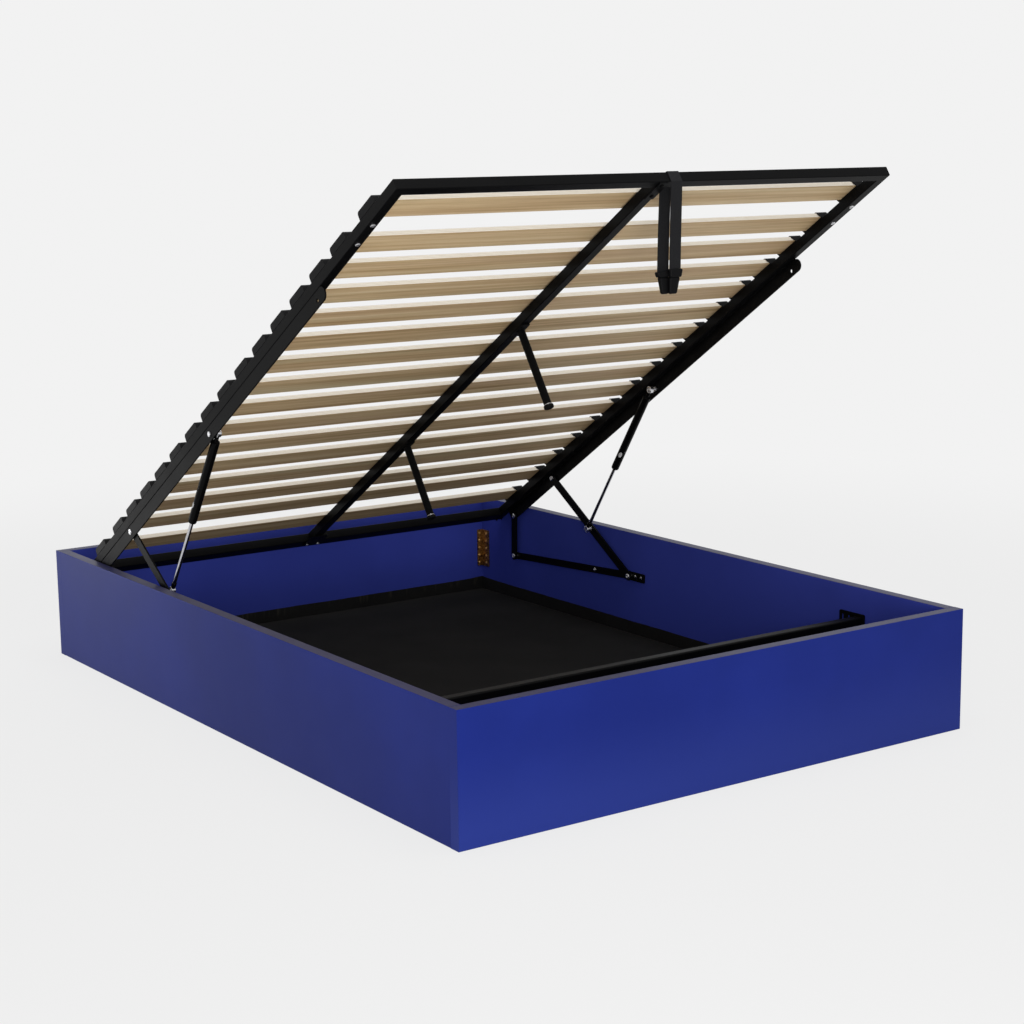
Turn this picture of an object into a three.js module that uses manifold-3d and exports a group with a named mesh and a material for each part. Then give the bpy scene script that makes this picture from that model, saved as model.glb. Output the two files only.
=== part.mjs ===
// Ottoman bed with a storage box and a lid of slats that is lifted by four-bar links and gas struts.
// Millimetres. +X runs across the bed, +Y to its head end, +Z up.
// The origin is the middle of the box's footprint, on the floor. The lid is shown open.
import * as THREE from 'three';
import * as BufferGeometryUtils from 'three/addons/utils/BufferGeometryUtils.js';
import Module from 'manifold-3d';

const wasm = await Module();
wasm.setup();

// Box
const mattressWidth = 1400;
const mattressLength = 2000;
const panelThickness = 30;
const panelHeight = 300;
const panelEdgeBevel = 1.5;

// Fits
const seatGap = 0.3;
const boreClearance = 0.5;

// Roundness, as sides of a turned piece and steps of an arc
const arcSteps = 8;
const turnedSides = 16;
const screwSides = 10;
const strutSides = 20;

// Fastener heads: rim as a share of the height, crown as a share of the radius
const headRim = 0.5;
const headCrown = 0.65;

// Lid frame: steel box section
const lidRecess = 50;
const lidSideClearance = 4;
const lidEndClearance = 5;
const tubeSize = 25;
const tubeWall = 1.5;
const headTubeWidth = 40;
const footArmLength = 178;
const beamPlateThickness = 3;
const beamFootPlateWidth = 62;
const beamFootPlateLength = 68;
const beamHeadPlateWidth = 58;
const beamHeadPlateLength = 36;
const beamPlateSetBack = 2;
const beamPlateCorner = 5;
const beamWeldInset = 4;
const beamScrewSpread = 18;
const beamScrewPlace = 14;
const spliceLength = 130;
const spliceBoltSpacing = 76;
const spliceBoltRadius = 6;
const spliceBoltHeight = 3;
const spliceShankRadius = 3;

// Slats and their end caps
const slatCount = 16;
const slatWidth = 68;
const slatThickness = 12;
const slatBevel = 2;
const firstSlatPlace = 124;
const secondSlatPlace = 269;
const capLength = 74;
const capDepth = 46;
const capHeight = 19;
const capFloor = 4;
const capPocketDepth = 40;
const capChamfer = 4;
const slatFit = 0.3;

// Lift: where the lid's pivots lie, from its hinge end and below its top, and how it travels
const openTilt = 33;
const liftForward = 116;
const liftRise = 68;
const rearPivotFromEnd = 80;
const rearPivotDepth = 50;
const rearPivotDrop = 60;
const frontPivotFromEnd = 331;
const frontPivotDepth = 39;
const frontPivotDrop = 38;
const strutPivotFromEnd = 917;
const strutPivotDepth = 42;
const strutPlaceOnLink = 211;

// Lift: plates, links and bolts
const armThickness = 4;
const armInset = 1;
const armDepth = 33;
const armFootPlace = 378;
const armRearPlace = 55;
const armHoleFromEnd = 40;
const armHoleRadius = 4.5;
const armHoleDrop = 3;
const armCorner = 6;
const linkThickness = 5;
const linkGap = 1;
const rearLinkWidth = 25;
const frontLinkWidth = 25;
const baseBarThickness = 4;
const baseBarHeight = 21;
const baseBarEndHeight = 26;
const baseBarFootReach = 62;
const baseSlotWidth = 6;
const baseSlotInset = 5;
const baseSlotPlaces = [14, 40];
const baseScrewPlace = 172;
const panelScrewRadius = 6;
const panelScrewHeight = 3;
const pivotBoltRadius = 5;
const spacerRadius = 8.5;
const boltHeadRadius = 8;
const boltHeadHeight = 3.6;
const outerHeadHeight = 2.8;

// Gas struts
const cylinderRadius = 9;
const cylinderLength = 259;
const cylinderBoreDepth = 249;
const rodRadius = 4;
const rodInside = 60;
const ballRadius = 6;
const socketRadius = 10;
const socketWidth = 12;
const neckRadius = 5;
const neckLength = 16;
const strutInset = 28;
const studRadius = 4;
const studTipRadius = 3.4;
const studCollarRadius = 7;
const studCollarWidth = 4;
const cylinderShoulder = 2;
const cylinderNose = 3;
const socketChamfer = 2;

// Legs that stand on the floor when the lid is down
const legSpread = 324;
const legRadius = 10;
const legPlateThickness = 3;
const legPlateWidth = 24;
const legPlateLength = 60;
const legPlateCorner = 4;
const legFootRadius = 12;
const legFootHeight = 14;
const legFootChamfer = 2;
const legFloorClearance = 3;

// Foot rest bar
const footBarPlace = 274;
const footBarWidth = 28;
const footBarHeight = 25;
const barPlateThickness = 3;
const barPlateLength = 90;
const barPlateHeight = 58;
const barPlateRise = 8;
const barPlateFootReach = 23;
const barPlateCorner = 5;
const barSlotWidth = 7;
const barSlotInset = 9;
const barSlotPlaces = [56, 78];

// Floor cloth
const clothThickness = 2.5;
const clothUpstand = 40;

// Corner brackets
const cornerPlateThickness = 2.5;
const cornerPlateHeight = 128;
const cornerPlateBottom = 71;
const cornerShortLeg = 20;
const cornerLongLeg = 40;
const cornerScrewRows = 5;
const cornerScrewOnShort = 12.5;
const cornerScrewOnLong = 26;
const screwHeadRadius = 4;
const screwHeadHeight = 2;
const screwSink = 0.4;

// Pull strap
const strapWidth = 32;
const strapThickness = 2.4;
const strapPlace = 49;
const strapDrop = 222;
const strapGap = 0.6;
const gripLength = 50;
const gripTopWidth = 38;
const gripEndWidth = 27;
const gripThickness = 24;
const gripBandHeight = 13;
const gripBandLip = 3;

// Small bolts on the foot tube: a pair left of its middle and one near its right end
const pairBoltPlace = 240;
const pairBoltSpacing = 52;
const endBoltInset = 17;
const footTubeBoltPlace = 9;
const smallBoltRadius = 5;
const smallBoltHeight = 2.4;

// What follows from the sizes above
const sideInnerX = mattressWidth / 2;
const headInnerY = mattressLength / 2;
const lidLength = mattressLength - 2 * lidEndClearance;
const railOuterX = sideInnerX - lidSideClearance;
const railInnerX = railOuterX - tubeSize;
const lidTopHeight = panelHeight - lidRecess;
const radians = Math.PI / 180;
const sides = [[-1, 'left'], [1, 'right']];

const finish = {
  lacquer: { color: 0x26337f, roughness: 0.45, metalness: 0 },
  blackSteel: { color: 0x17171a, roughness: 0.5, metalness: 0.3 },
  birch: { color: 0xc9b593, roughness: 0.6, metalness: 0 },
  blackPlastic: { color: 0x1b1b1d, roughness: 0.6, metalness: 0 },
  bolt: { color: 0xb9bbbe, roughness: 0.3, metalness: 1 },
  rod: { color: 0xd6d8da, roughness: 0.12, metalness: 1 },
  brass: { color: 0xb8893a, roughness: 0.35, metalness: 1 },
  cloth: { color: 0x141416, roughness: 0.95, metalness: 0 },
  webbing: { color: 0x18181a, roughness: 0.9, metalness: 0 },
};

const bed = new THREE.Group();

function add(parent, name, geometry, look) {
  const mesh = new THREE.Mesh(geometry, new THREE.MeshStandardMaterial(look));
  mesh.name = name;
  parent.add(mesh);
  return mesh;
}

// A closed mesh that holds positions alone, with its corners shared
function bare(geometry) {
  const copy = geometry.index ? geometry : BufferGeometryUtils.mergeVertices(geometry);
  copy.deleteAttribute('normal');
  copy.deleteAttribute('uv');
  return BufferGeometryUtils.mergeVertices(copy, 1e-4);
}

function solidOf(geometry) {
  const mesh = bare(geometry);
  return new wasm.Manifold(new wasm.Mesh({
    numProp: 3,
    vertProperties: new Float32Array(mesh.attributes.position.array),
    triVerts: new Uint32Array(mesh.index.array),
  }));
}

function geometryOf(solid) {
  const mesh = solid.getMesh();
  const geometry = new THREE.BufferGeometry();
  geometry.setAttribute('position', new THREE.BufferAttribute(mesh.vertProperties, 3));
  geometry.setIndex(new THREE.BufferAttribute(mesh.triVerts, 1));
  return geometry;
}

function fuse(first, ...others) {
  return geometryOf(others.reduce((sum, piece) => sum.add(solidOf(piece)), solidOf(first)));
}

function cut(body, ...tools) {
  return geometryOf(tools.reduce((rest, tool) => rest.subtract(solidOf(tool)), solidOf(body)));
}

function outline(points) {
  return new THREE.Shape(points.map(([u, v]) => new THREE.Vector2(u, v)));
}

function rectangle(uLow, uHigh, vLow, vHigh) {
  return outline([[uLow, vLow], [uHigh, vLow], [uHigh, vHigh], [uLow, vHigh]]);
}

function bevelled(uLow, uHigh, vLow, vHigh, bevel) {
  return outline([
    [uLow + bevel, vLow], [uHigh - bevel, vLow], [uHigh, vLow + bevel], [uHigh, vHigh - bevel],
    [uHigh - bevel, vHigh], [uLow + bevel, vHigh], [uLow, vHigh - bevel], [uLow, vLow + bevel],
  ]);
}

function round(radius, u = 0, v = 0) {
  return new THREE.Path().absarc(u, v, radius, 0, 2 * Math.PI, true);
}

// A slot that stands on its end, with its corners cut off
function slot(middle, width, low, high) {
  return bevelled(middle - width / 2, middle + width / 2, low, high, width / 3);
}

function extrude(shape, length) {
  return new THREE.ExtrudeGeometry(shape, { depth: length, bevelEnabled: false, curveSegments: arcSteps });
}

// An outline in (y, z) that runs across the bed from one x to another
function across(shape, from, to) {
  const turn = new THREE.Matrix4().makeBasis(
    new THREE.Vector3(0, 1, 0), new THREE.Vector3(0, 0, 1), new THREE.Vector3(1, 0, 0),
  );
  return extrude(shape, Math.abs(to - from)).applyMatrix4(turn).translate(Math.min(from, to), 0, 0);
}

// An outline in (x, z) that runs along the bed from one y to another
function along(shape, from, to) {
  const turn = new THREE.Matrix4().makeBasis(
    new THREE.Vector3(1, 0, 0), new THREE.Vector3(0, 0, 1), new THREE.Vector3(0, -1, 0),
  );
  return extrude(shape, to - from).applyMatrix4(turn).translate(0, to, 0);
}

// An outline in (x, y) that stands from one z to another
function upright(shape, from, to) {
  return extrude(shape, to - from).translate(0, 0, from);
}

// A square or oblong tube with open ends
function tubeOutline(uLow, uHigh, vLow, vHigh, wall) {
  const shape = rectangle(uLow, uHigh, vLow, vHigh);
  const inside = rectangle(uLow + wall, uHigh - wall, vLow + wall, vHigh - wall);
  shape.holes.push(inside);
  return shape;
}

// A turned piece on the X axis through (y, z): pairs of x and radius, closed at both ends
function turned(pairs, y = 0, z = 0, sideCount = turnedSides) {
  const [firstX] = pairs[0];
  const [lastX] = pairs[pairs.length - 1];
  const profile = [[firstX, 0], ...pairs, [lastX, 0]].map(([x, r]) => new THREE.Vector2(r, x));
  const lathe = new THREE.LatheGeometry(profile, sideCount);
  return lathe.rotateZ(-Math.PI / 2).translate(0, y, z);
}

const up = new THREE.Vector3(0, 0, 1);
const down = new THREE.Vector3(0, 0, -1);

// A low round screw head that stands at a place, out along a direction
function screwHead(radius, height, place, direction) {
  const crown = [radius * headCrown, height];
  const profile = [[0, 0], [radius, 0], [radius, height * headRim], crown, [0, height]];
  const lathe = new THREE.LatheGeometry(profile.map(([r, h]) => new THREE.Vector2(r, h)), screwSides);
  const turn = new THREE.Quaternion().setFromUnitVectors(new THREE.Vector3(0, 1, 0), direction);
  return lathe.applyQuaternion(turn).translate(...place);
}

// A place at s inside a side panel's inner face, on the left (side -1) or the right (side 1)
function inside(side, s) {
  return side * (sideInnerX - s);
}

// The same turned piece on either side: pairs of s and radius, from the panel inwards
function turnedInwards(side, pairs, y, z) {
  const placed = pairs.map(([s, radius]) => [inside(side, s), radius]);
  return turned(side < 0 ? placed : placed.reverse(), y, z);
}

// The head of a screw in a side panel, on a plate whose inner face is at s
function panelScrew(side, s, y, z) {
  const place = [inside(side, s - screwSink), y, z];
  return screwHead(panelScrewRadius, panelScrewHeight, place, new THREE.Vector3(-side, 0, 0));
}

// A place of the lid in the (y, z) plane, by its distance from the hinge end and its depth below the top
function lidPlace(origin, tilt, fromEnd, depth) {
  const cosine = Math.cos(tilt * radians);
  const sine = Math.sin(tilt * radians);
  return new THREE.Vector2(
    origin.x - fromEnd * cosine - depth * sine,
    origin.y + fromEnd * sine - depth * cosine,
  );
}

const closedOrigin = new THREE.Vector2(headInnerY - lidEndClearance, lidTopHeight);
const rearPivotClosed = lidPlace(closedOrigin, 0, rearPivotFromEnd, rearPivotDepth);
const rearPivot = rearPivotClosed.clone().add(new THREE.Vector2(-liftForward, liftRise));
const openOrigin = rearPivot.clone().sub(
  lidPlace(new THREE.Vector2(0, 0), openTilt, rearPivotFromEnd, rearPivotDepth),
);
const frontPivotClosed = lidPlace(closedOrigin, 0, frontPivotFromEnd, frontPivotDepth);
const frontPivot = lidPlace(openOrigin, openTilt, frontPivotFromEnd, frontPivotDepth);
const strutTop = lidPlace(openOrigin, openTilt, strutPivotFromEnd, strutPivotDepth);
const strutTopClosed = lidPlace(closedOrigin, 0, strutPivotFromEnd, strutPivotDepth);

// A link's fixed pivot is as far from its lid pivot with the lid open as with the lid closed
function fixedPivot(closed, open, height) {
  const middle = closed.clone().add(open).multiplyScalar(0.5);
  const move = open.clone().sub(closed);
  return new THREE.Vector2(middle.x - (height - middle.y) * move.y / move.x, height);
}

const rearBase = fixedPivot(rearPivotClosed, rearPivot, rearPivotClosed.y - rearPivotDrop);
const frontBase = fixedPivot(frontPivotClosed, frontPivot, frontPivotClosed.y - frontPivotDrop);
const rearLinkLength = rearPivot.distanceTo(rearBase);
const frontLinkLength = frontPivot.distanceTo(frontBase);
const rearLinkAngle = rearPivot.clone().sub(rearBase).angle();
const frontLinkAngle = frontPivot.clone().sub(frontBase).angle();
const frontLinkAngleClosed = frontPivotClosed.clone().sub(frontBase).angle();

function alongFrontLink(angle) {
  return new THREE.Vector2(Math.cos(angle), Math.sin(angle)).multiplyScalar(strutPlaceOnLink).add(frontBase);
}

const strutFoot = alongFrontLink(frontLinkAngle);
const strutFootClosed = alongFrontLink(frontLinkAngleClosed);
const strutLength = strutTop.distanceTo(strutFoot);
const strutLengthClosed = strutTopClosed.distanceTo(strutFootClosed);
const strutAngle = strutFoot.clone().sub(strutTop).angle();

// Layers of the mechanism, as distances from the side panel's inner face
const armNear = lidSideClearance + armInset;
const armFar = armNear + armThickness;
const linkNear = armFar + linkGap;
const linkFar = linkNear + linkThickness;
const headNear = linkFar + seatGap;
const pivotBore = pivotBoltRadius + boreClearance;
const studBore = studRadius + boreClearance;

// Box of four panels: the foot and head panels lap over the ends of the side panels
function panel(width, length, x, y) {
  const board = new THREE.Shape([
    new THREE.Vector2(-width / 2 + panelEdgeBevel, -length / 2 + panelEdgeBevel),
    new THREE.Vector2(width / 2 - panelEdgeBevel, -length / 2 + panelEdgeBevel),
    new THREE.Vector2(width / 2 - panelEdgeBevel, length / 2 - panelEdgeBevel),
    new THREE.Vector2(-width / 2 + panelEdgeBevel, length / 2 - panelEdgeBevel),
  ]);
  const geometry = new THREE.ExtrudeGeometry(board, {
    depth: panelHeight - 2 * panelEdgeBevel,
    bevelThickness: panelEdgeBevel,
    bevelSize: panelEdgeBevel,
    bevelSegments: 1,
  });
  return geometry.translate(x, y, panelEdgeBevel);
}

function makeBox() {
  const endY = headInnerY + panelThickness / 2;
  const sideX = sideInnerX + panelThickness / 2;
  const endWidth = mattressWidth + 2 * panelThickness;
  add(bed, 'foot_panel', panel(endWidth, panelThickness, 0, -endY), finish.lacquer);
  add(bed, 'head_panel', panel(endWidth, panelThickness, 0, endY), finish.lacquer);
  add(bed, 'side_panel_left', panel(panelThickness, mattressLength, -sideX, 0), finish.lacquer);
  add(bed, 'side_panel_right', panel(panelThickness, mattressLength, sideX, 0), finish.lacquer);
}

// Angle brackets in the corners, with a column of screws in each leg
function cornerBracket(sideX, endY) {
  const x = sideX * (sideInnerX - seatGap);
  const y = endY * (headInnerY - seatGap);
  const inX = -sideX;
  const inY = -endY;
  const plan = [
    [x, y],
    [x + inX * cornerShortLeg, y],
    [x + inX * cornerShortLeg, y + inY * cornerPlateThickness],
    [x + inX * cornerPlateThickness, y + inY * cornerPlateThickness],
    [x + inX * cornerPlateThickness, y + inY * cornerLongLeg],
    [x, y + inY * cornerLongLeg],
  ];
  return upright(outline(plan), cornerPlateBottom, cornerPlateBottom + cornerPlateHeight);
}

function cornerScrews(sideX, endY) {
  const heads = [];
  const pitch = cornerPlateHeight / cornerScrewRows;
  const face = seatGap + cornerPlateThickness - screwSink;
  for (let row = 0; row < cornerScrewRows; row += 1) {
    const z = cornerPlateBottom + pitch * (row + 0.5);
    const onSide = [sideX * (sideInnerX - face), endY * (headInnerY - cornerScrewOnLong), z];
    const onEnd = [sideX * (sideInnerX - cornerScrewOnShort), endY * (headInnerY - face), z];
    heads.push(screwHead(screwHeadRadius, screwHeadHeight, onSide, new THREE.Vector3(-sideX, 0, 0)));
    heads.push(screwHead(screwHeadRadius, screwHeadHeight, onEnd, new THREE.Vector3(0, -endY, 0)));
  }
  return heads;
}

function makeCorners() {
  for (const [endY, end] of [[-1, 'foot'], [1, 'head']]) {
    for (const [sideX, name] of sides) {
      const bracket = fuse(cornerBracket(sideX, endY), ...cornerScrews(sideX, endY));
      add(bed, `corner_bracket_${end}_${name}`, bracket, finish.brass);
    }
  }
}

// Cloth tray on the floor, its edge turned up against the panels
function makeFloorCloth() {
  const halfWidth = sideInnerX - seatGap;
  const halfLength = headInnerY - seatGap;
  const tray = upright(rectangle(-halfWidth, halfWidth, -halfLength, halfLength), 0, clothUpstand);
  const hollow = upright(rectangle(
    -halfWidth + clothThickness, halfWidth - clothThickness,
    -halfLength + clothThickness, halfLength - clothThickness,
  ), clothThickness, clothUpstand + clothThickness);
  add(bed, 'floor_cloth', cut(tray, hollow), finish.cloth);
}

// Bar across the foot end that carries the closed lid
const lidUnderside = lidTopHeight - tubeSize;
const footBarTop = lidUnderside - seatGap;
const footBarY = -headInnerY + lidEndClearance + footBarPlace + footBarWidth / 2;

const barPlateFoot = footBarY - barPlateFootReach;
const barPlateHead = barPlateFoot + barPlateLength;
const barPlateTop = footBarTop + barPlateRise;
const barPlateBottom = barPlateTop - barPlateHeight;

function barPlate(side) {
  const plate = bevelled(barPlateFoot, barPlateHead, barPlateBottom, barPlateTop, barPlateCorner);
  for (const place of barSlotPlaces) {
    plate.holes.push(slot(barPlateFoot + place, barSlotWidth, barPlateBottom + barSlotInset,
      barPlateTop - barSlotInset));
  }
  return across(plate, inside(side, seatGap), inside(side, barPlateThickness));
}

function barPlateScrews(side) {
  const height = (barPlateTop + barPlateBottom) / 2;
  return barSlotPlaces.map((place) => panelScrew(side, barPlateThickness, barPlateFoot + place, height));
}

function makeFootBar() {
  const half = sideInnerX - barPlateThickness - seatGap;
  const near = footBarY - footBarWidth / 2;
  const section = tubeOutline(near, near + footBarWidth, footBarTop - footBarHeight, footBarTop, tubeWall);
  add(bed, 'foot_rest_bar', across(section, -half, half), finish.blackSteel);
  for (const [side, name] of sides) {
    const plate = fuse(barPlate(side), ...barPlateScrews(side));
    add(bed, `foot_bar_plate_${name}`, plate, finish.blackSteel);
  }
}

// Base bars of the lift on the side panels, from the front pivot's slotted end to the rear pivot
function baseBarShape() {
  const span = rearBase.clone().sub(frontBase);
  const slope = span.y / span.x;
  const half = baseBarHeight / 2;
  const endHalf = baseBarEndHeight / 2;
  const footEnd = frontBase.x - baseBarFootReach;
  const neck = frontBase.x + boltHeadRadius * 2;
  const line = (y) => rearBase.y + (y - rearBase.x) * slope;
  const shape = new THREE.Shape();
  shape.moveTo(footEnd, frontBase.y - endHalf);
  shape.lineTo(neck, frontBase.y - endHalf);
  shape.lineTo(neck + boltHeadRadius, line(neck) - half);
  shape.lineTo(rearBase.x, rearBase.y - half);
  shape.absarc(rearBase.x, rearBase.y, half, -Math.PI / 2, Math.PI / 2, false);
  shape.lineTo(neck + boltHeadRadius, line(neck) + half);
  shape.lineTo(neck, frontBase.y + endHalf);
  shape.lineTo(footEnd, frontBase.y + endHalf);
  const slotHalf = endHalf - baseSlotInset;
  for (const place of baseSlotPlaces) {
    shape.holes.push(slot(footEnd + place, baseSlotWidth, frontBase.y - slotHalf, frontBase.y + slotHalf));
  }
  shape.holes.push(round(pivotBore, frontBase.x, frontBase.y));
  shape.holes.push(round(pivotBore, rearBase.x, rearBase.y));
  return shape;
}

// The inner head of a pivot bolt, as pairs of s and radius
const innerHead = [
  [headNear, pivotBoltRadius], [headNear, boltHeadRadius],
  [headNear + boltHeadHeight * headRim, boltHeadRadius],
  [headNear + boltHeadHeight, boltHeadRadius * headCrown],
];

// A fixed pivot's bolt: shank in the base bar, spacer up to the link, shank in the link and head
function baseBolt(side, place) {
  return turnedInwards(side, [
    [seatGap, pivotBoltRadius], [baseBarThickness + seatGap, pivotBoltRadius],
    [baseBarThickness + seatGap, spacerRadius], [linkNear - seatGap, spacerRadius],
    [linkNear - seatGap, pivotBoltRadius], ...innerHead,
  ], place.x, place.y);
}

function baseScrew(side) {
  const y = frontBase.x + baseScrewPlace;
  const z = frontBase.y + baseScrewPlace * (rearBase.y - frontBase.y) / (rearBase.x - frontBase.x);
  return panelScrew(side, baseBarThickness, y, z);
}

function makeBase() {
  for (const [side, name] of sides) {
    const bar = across(baseBarShape(), inside(side, seatGap), inside(side, baseBarThickness));
    add(bed, `base_bar_${name}`, fuse(bar, baseScrew(side)), finish.blackSteel);
    add(bed, `rear_base_bolt_${name}`, baseBolt(side, rearBase), finish.bolt);
    add(bed, `front_base_bolt_${name}`, baseBolt(side, frontBase), finish.bolt);
  }
}

// A flat link with round ends and bores, from its base pivot at the origin along +Y
function link(side, length, width, bores) {
  const half = width / 2;
  const shape = new THREE.Shape();
  shape.moveTo(0, -half);
  shape.lineTo(length, -half);
  shape.absarc(length, 0, half, -Math.PI / 2, Math.PI / 2, false);
  shape.lineTo(0, half);
  shape.absarc(0, 0, half, Math.PI / 2, 1.5 * Math.PI, false);
  for (const [place, radius] of bores) {
    shape.holes.push(round(radius, place, 0));
  }
  return across(shape, inside(side, linkNear), inside(side, linkFar));
}

function linkGroup(base, angle) {
  const group = new THREE.Group();
  group.position.set(0, base.x, base.y);
  group.rotation.x = angle;
  bed.add(group);
  return group;
}

// The bolt that a link carries at its lid end: shank through the link, head on its inner face
function linkBolt(side, place) {
  return turnedInwards(side, [[linkNear, pivotBoltRadius], ...innerHead], place, 0);
}

// The strut's stud, riveted into the front link: a collar, then the shank up to the ball socket
function lowerStud(side, place) {
  const tip = strutInset - socketWidth / 2 - seatGap;
  const collarFar = linkFar + studCollarWidth;
  return turnedInwards(side, [
    [linkFar - screwSink, studCollarRadius], [collarFar, studCollarRadius],
    [collarFar, studRadius], [tip, studRadius],
  ], place, 0);
}

function makeLinks(side, name) {
  const rear = linkGroup(rearBase, rearLinkAngle);
  const rearBores = [[0, pivotBore], [rearLinkLength, pivotBore]];
  add(rear, `rear_link_${name}`, link(side, rearLinkLength, rearLinkWidth, rearBores), finish.blackSteel);
  add(rear, `rear_link_bolt_${name}`, linkBolt(side, rearLinkLength), finish.bolt);
  const front = linkGroup(frontBase, frontLinkAngle);
  const frontBores = [[0, pivotBore], [frontLinkLength, pivotBore]];
  const frontLink = link(side, frontLinkLength, frontLinkWidth, frontBores);
  add(front, `front_link_${name}`, fuse(frontLink, lowerStud(side, strutPlaceOnLink)), finish.blackSteel);
  add(front, `front_link_bolt_${name}`, linkBolt(side, frontLinkLength), finish.bolt);
}

// The gas strut lies along +Y of its own group, which stands at its ball on the lid
function strutGroup() {
  const group = new THREE.Group();
  group.position.set(0, strutTop.x, strutTop.y);
  group.rotation.x = strutAngle;
  bed.add(group);
  return group;
}

const cylinderStart = socketRadius + neckLength;
const cylinderEnd = cylinderStart + cylinderLength;

function turnedAlong(profile, x) {
  const points = profile.map(([y, r]) => new THREE.Vector2(r, y));
  return new THREE.LatheGeometry(points, strutSides).translate(x, 0, 0);
}

function strutCylinder(side) {
  const x = inside(side, strutInset);
  const half = socketWidth / 2;
  const bore = rodRadius + boreClearance;
  const neckStart = (ballRadius + socketRadius) / 2;
  const body = turnedAlong([
    [neckStart, 0], [neckStart, neckRadius], [cylinderStart, neckRadius],
    [cylinderStart, cylinderRadius - cylinderShoulder], [cylinderStart + cylinderShoulder, cylinderRadius],
    [cylinderEnd - cylinderNose, cylinderRadius], [cylinderEnd, cylinderRadius - cylinderNose],
    [cylinderEnd, bore], [cylinderEnd - cylinderBoreDepth, bore], [cylinderEnd - cylinderBoreDepth, 0],
  ], x);
  const ring = turned([[x - half, socketRadius], [x + half, socketRadius]]);
  const seatRadius = ballRadius + boreClearance;
  const seat = turned([[x - socketWidth, seatRadius], [x + socketWidth, seatRadius]]);
  return cut(fuse(body, ring), seat);
}

function strutRod(side) {
  const x = inside(side, strutInset);
  const half = socketWidth / 2;
  const neckStart = strutLength - socketRadius - neckLength;
  const rod = turnedAlong([
    [cylinderEnd - rodInside, 0], [cylinderEnd - rodInside, rodRadius], [neckStart, rodRadius],
    [neckStart, neckRadius], [strutLength - ballRadius, neckRadius], [strutLength - ballRadius, 0],
  ], x);
  const socket = turned([
    [x - half, socketRadius - socketChamfer], [x - half + socketChamfer, socketRadius],
    [x + half - socketChamfer, socketRadius], [x + half, socketRadius - socketChamfer],
  ], strutLength, 0);
  return fuse(rod, socket);
}

function makeStrut(side, name) {
  const group = strutGroup();
  add(group, `strut_cylinder_${name}`, strutCylinder(side), finish.blackPlastic);
  add(group, `strut_rod_${name}`, strutRod(side), finish.rod);
}

// The lid: y = 0 is its hinge end, z = 0 its top plane
const lid = new THREE.Group();
lid.position.set(0, openOrigin.x, openOrigin.y);
lid.rotation.x = -openTilt * radians;
bed.add(lid);

const footEdge = -lidLength;
const spliceY = footEdge + footArmLength;

function footTubeBolts() {
  const pair = [-pairBoltPlace - pairBoltSpacing / 2, -pairBoltPlace + pairBoltSpacing / 2];
  return [...pair, railOuterX - endBoltInset].map((x) => screwHead(
    smallBoltRadius, smallBoltHeight + screwSink, [x, footEdge + footTubeBoltPlace, -screwSink], up,
  ));
}

// The splice's bolts: one head on the foot arm, one under the side rail, which its shank goes through
function spliceBolt(side, y) {
  const x = side * (railOuterX - tubeSize / 2);
  return screwHead(spliceBoltRadius, spliceBoltHeight + screwSink, [x, y, -tubeSize + screwSink], down);
}

function shank(side, y, radius, low, high) {
  const pin = round(radius, side * (railOuterX - tubeSize / 2), y).getPoints(turnedSides);
  return upright(new THREE.Shape(pin), low, high);
}

function throughBolt(side, y) {
  const head = screwHead(
    spliceBoltRadius, spliceBoltHeight, [side * (railOuterX - tubeSize / 2), y, -tubeSize - seatGap], down,
  );
  return [head, shank(side, y, spliceShankRadius, -tubeSize - 2 * seatGap, -tubeSize + 2 * tubeWall)];
}

// A foot arm ends in a spigot that the side rail slides over
function footArm(side) {
  const low = Math.min(side * railOuterX, side * railInnerX);
  const section = tubeOutline(low, low + tubeSize, -tubeSize, 0, tubeWall);
  const arm = along(section, footEdge + tubeSize + seatGap, spliceY - seatGap / 2);
  const fit = tubeWall + seatGap;
  const spigotSection = tubeOutline(low + fit, low + tubeSize - fit, -tubeSize + fit, -fit, tubeWall);
  const spigot = along(spigotSection, spliceY - spliceLength / 2, spliceY + spliceLength / 2);
  const root = tubeWall - screwSink;
  const rootSection = tubeOutline(low + root, low + tubeSize - root, -tubeSize + root, -root, tubeWall);
  const seat = along(rootSection, spliceY - spliceLength / 2, spliceY - spliceLength / 4);
  const armBolt = spliceBolt(side, spliceY - spliceBoltSpacing / 2);
  const railBolt = throughBolt(side, spliceY + spliceBoltSpacing / 2);
  return fuse(arm, spigot, seat, armBolt, ...railBolt, ...slatCaps(side, (y) => y < spliceY));
}

function sideRail(side) {
  const low = Math.min(side * railOuterX, side * railInnerX);
  const section = tubeOutline(low, low + tubeSize, -tubeSize, 0, tubeWall);
  const rail = along(section, spliceY + seatGap / 2, 0);
  const boltY = spliceY + spliceBoltSpacing / 2;
  const hole = shank(side, boltY, spliceShankRadius + boreClearance, -tubeSize - tubeWall, -tubeSize / 2);
  return fuse(cut(rail, hole), ...slatCaps(side, (y) => y > spliceY));
}

// Plates welded under the foot tube and the head tube, on which the ends of the centre beam lie
const plateTop = -tubeSize - seatGap;
const plateBottom = plateTop - beamPlateThickness;

function beamPlate(shape, weldFrom, weldTo, screwY) {
  const half = beamScrewSpread + smallBoltRadius;
  const weldWidth = rectangle(-half, half, (plateTop + plateBottom) / 2, -tubeSize + screwSink);
  const weld = along(weldWidth, weldFrom + beamWeldInset, weldTo - beamWeldInset);
  const screws = [-beamScrewSpread, beamScrewSpread].map((x) => screwHead(
    smallBoltRadius, smallBoltHeight, [x, screwY, plateBottom + screwSink], down,
  ));
  return [upright(shape, plateBottom, plateTop), weld, ...screws];
}

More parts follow.
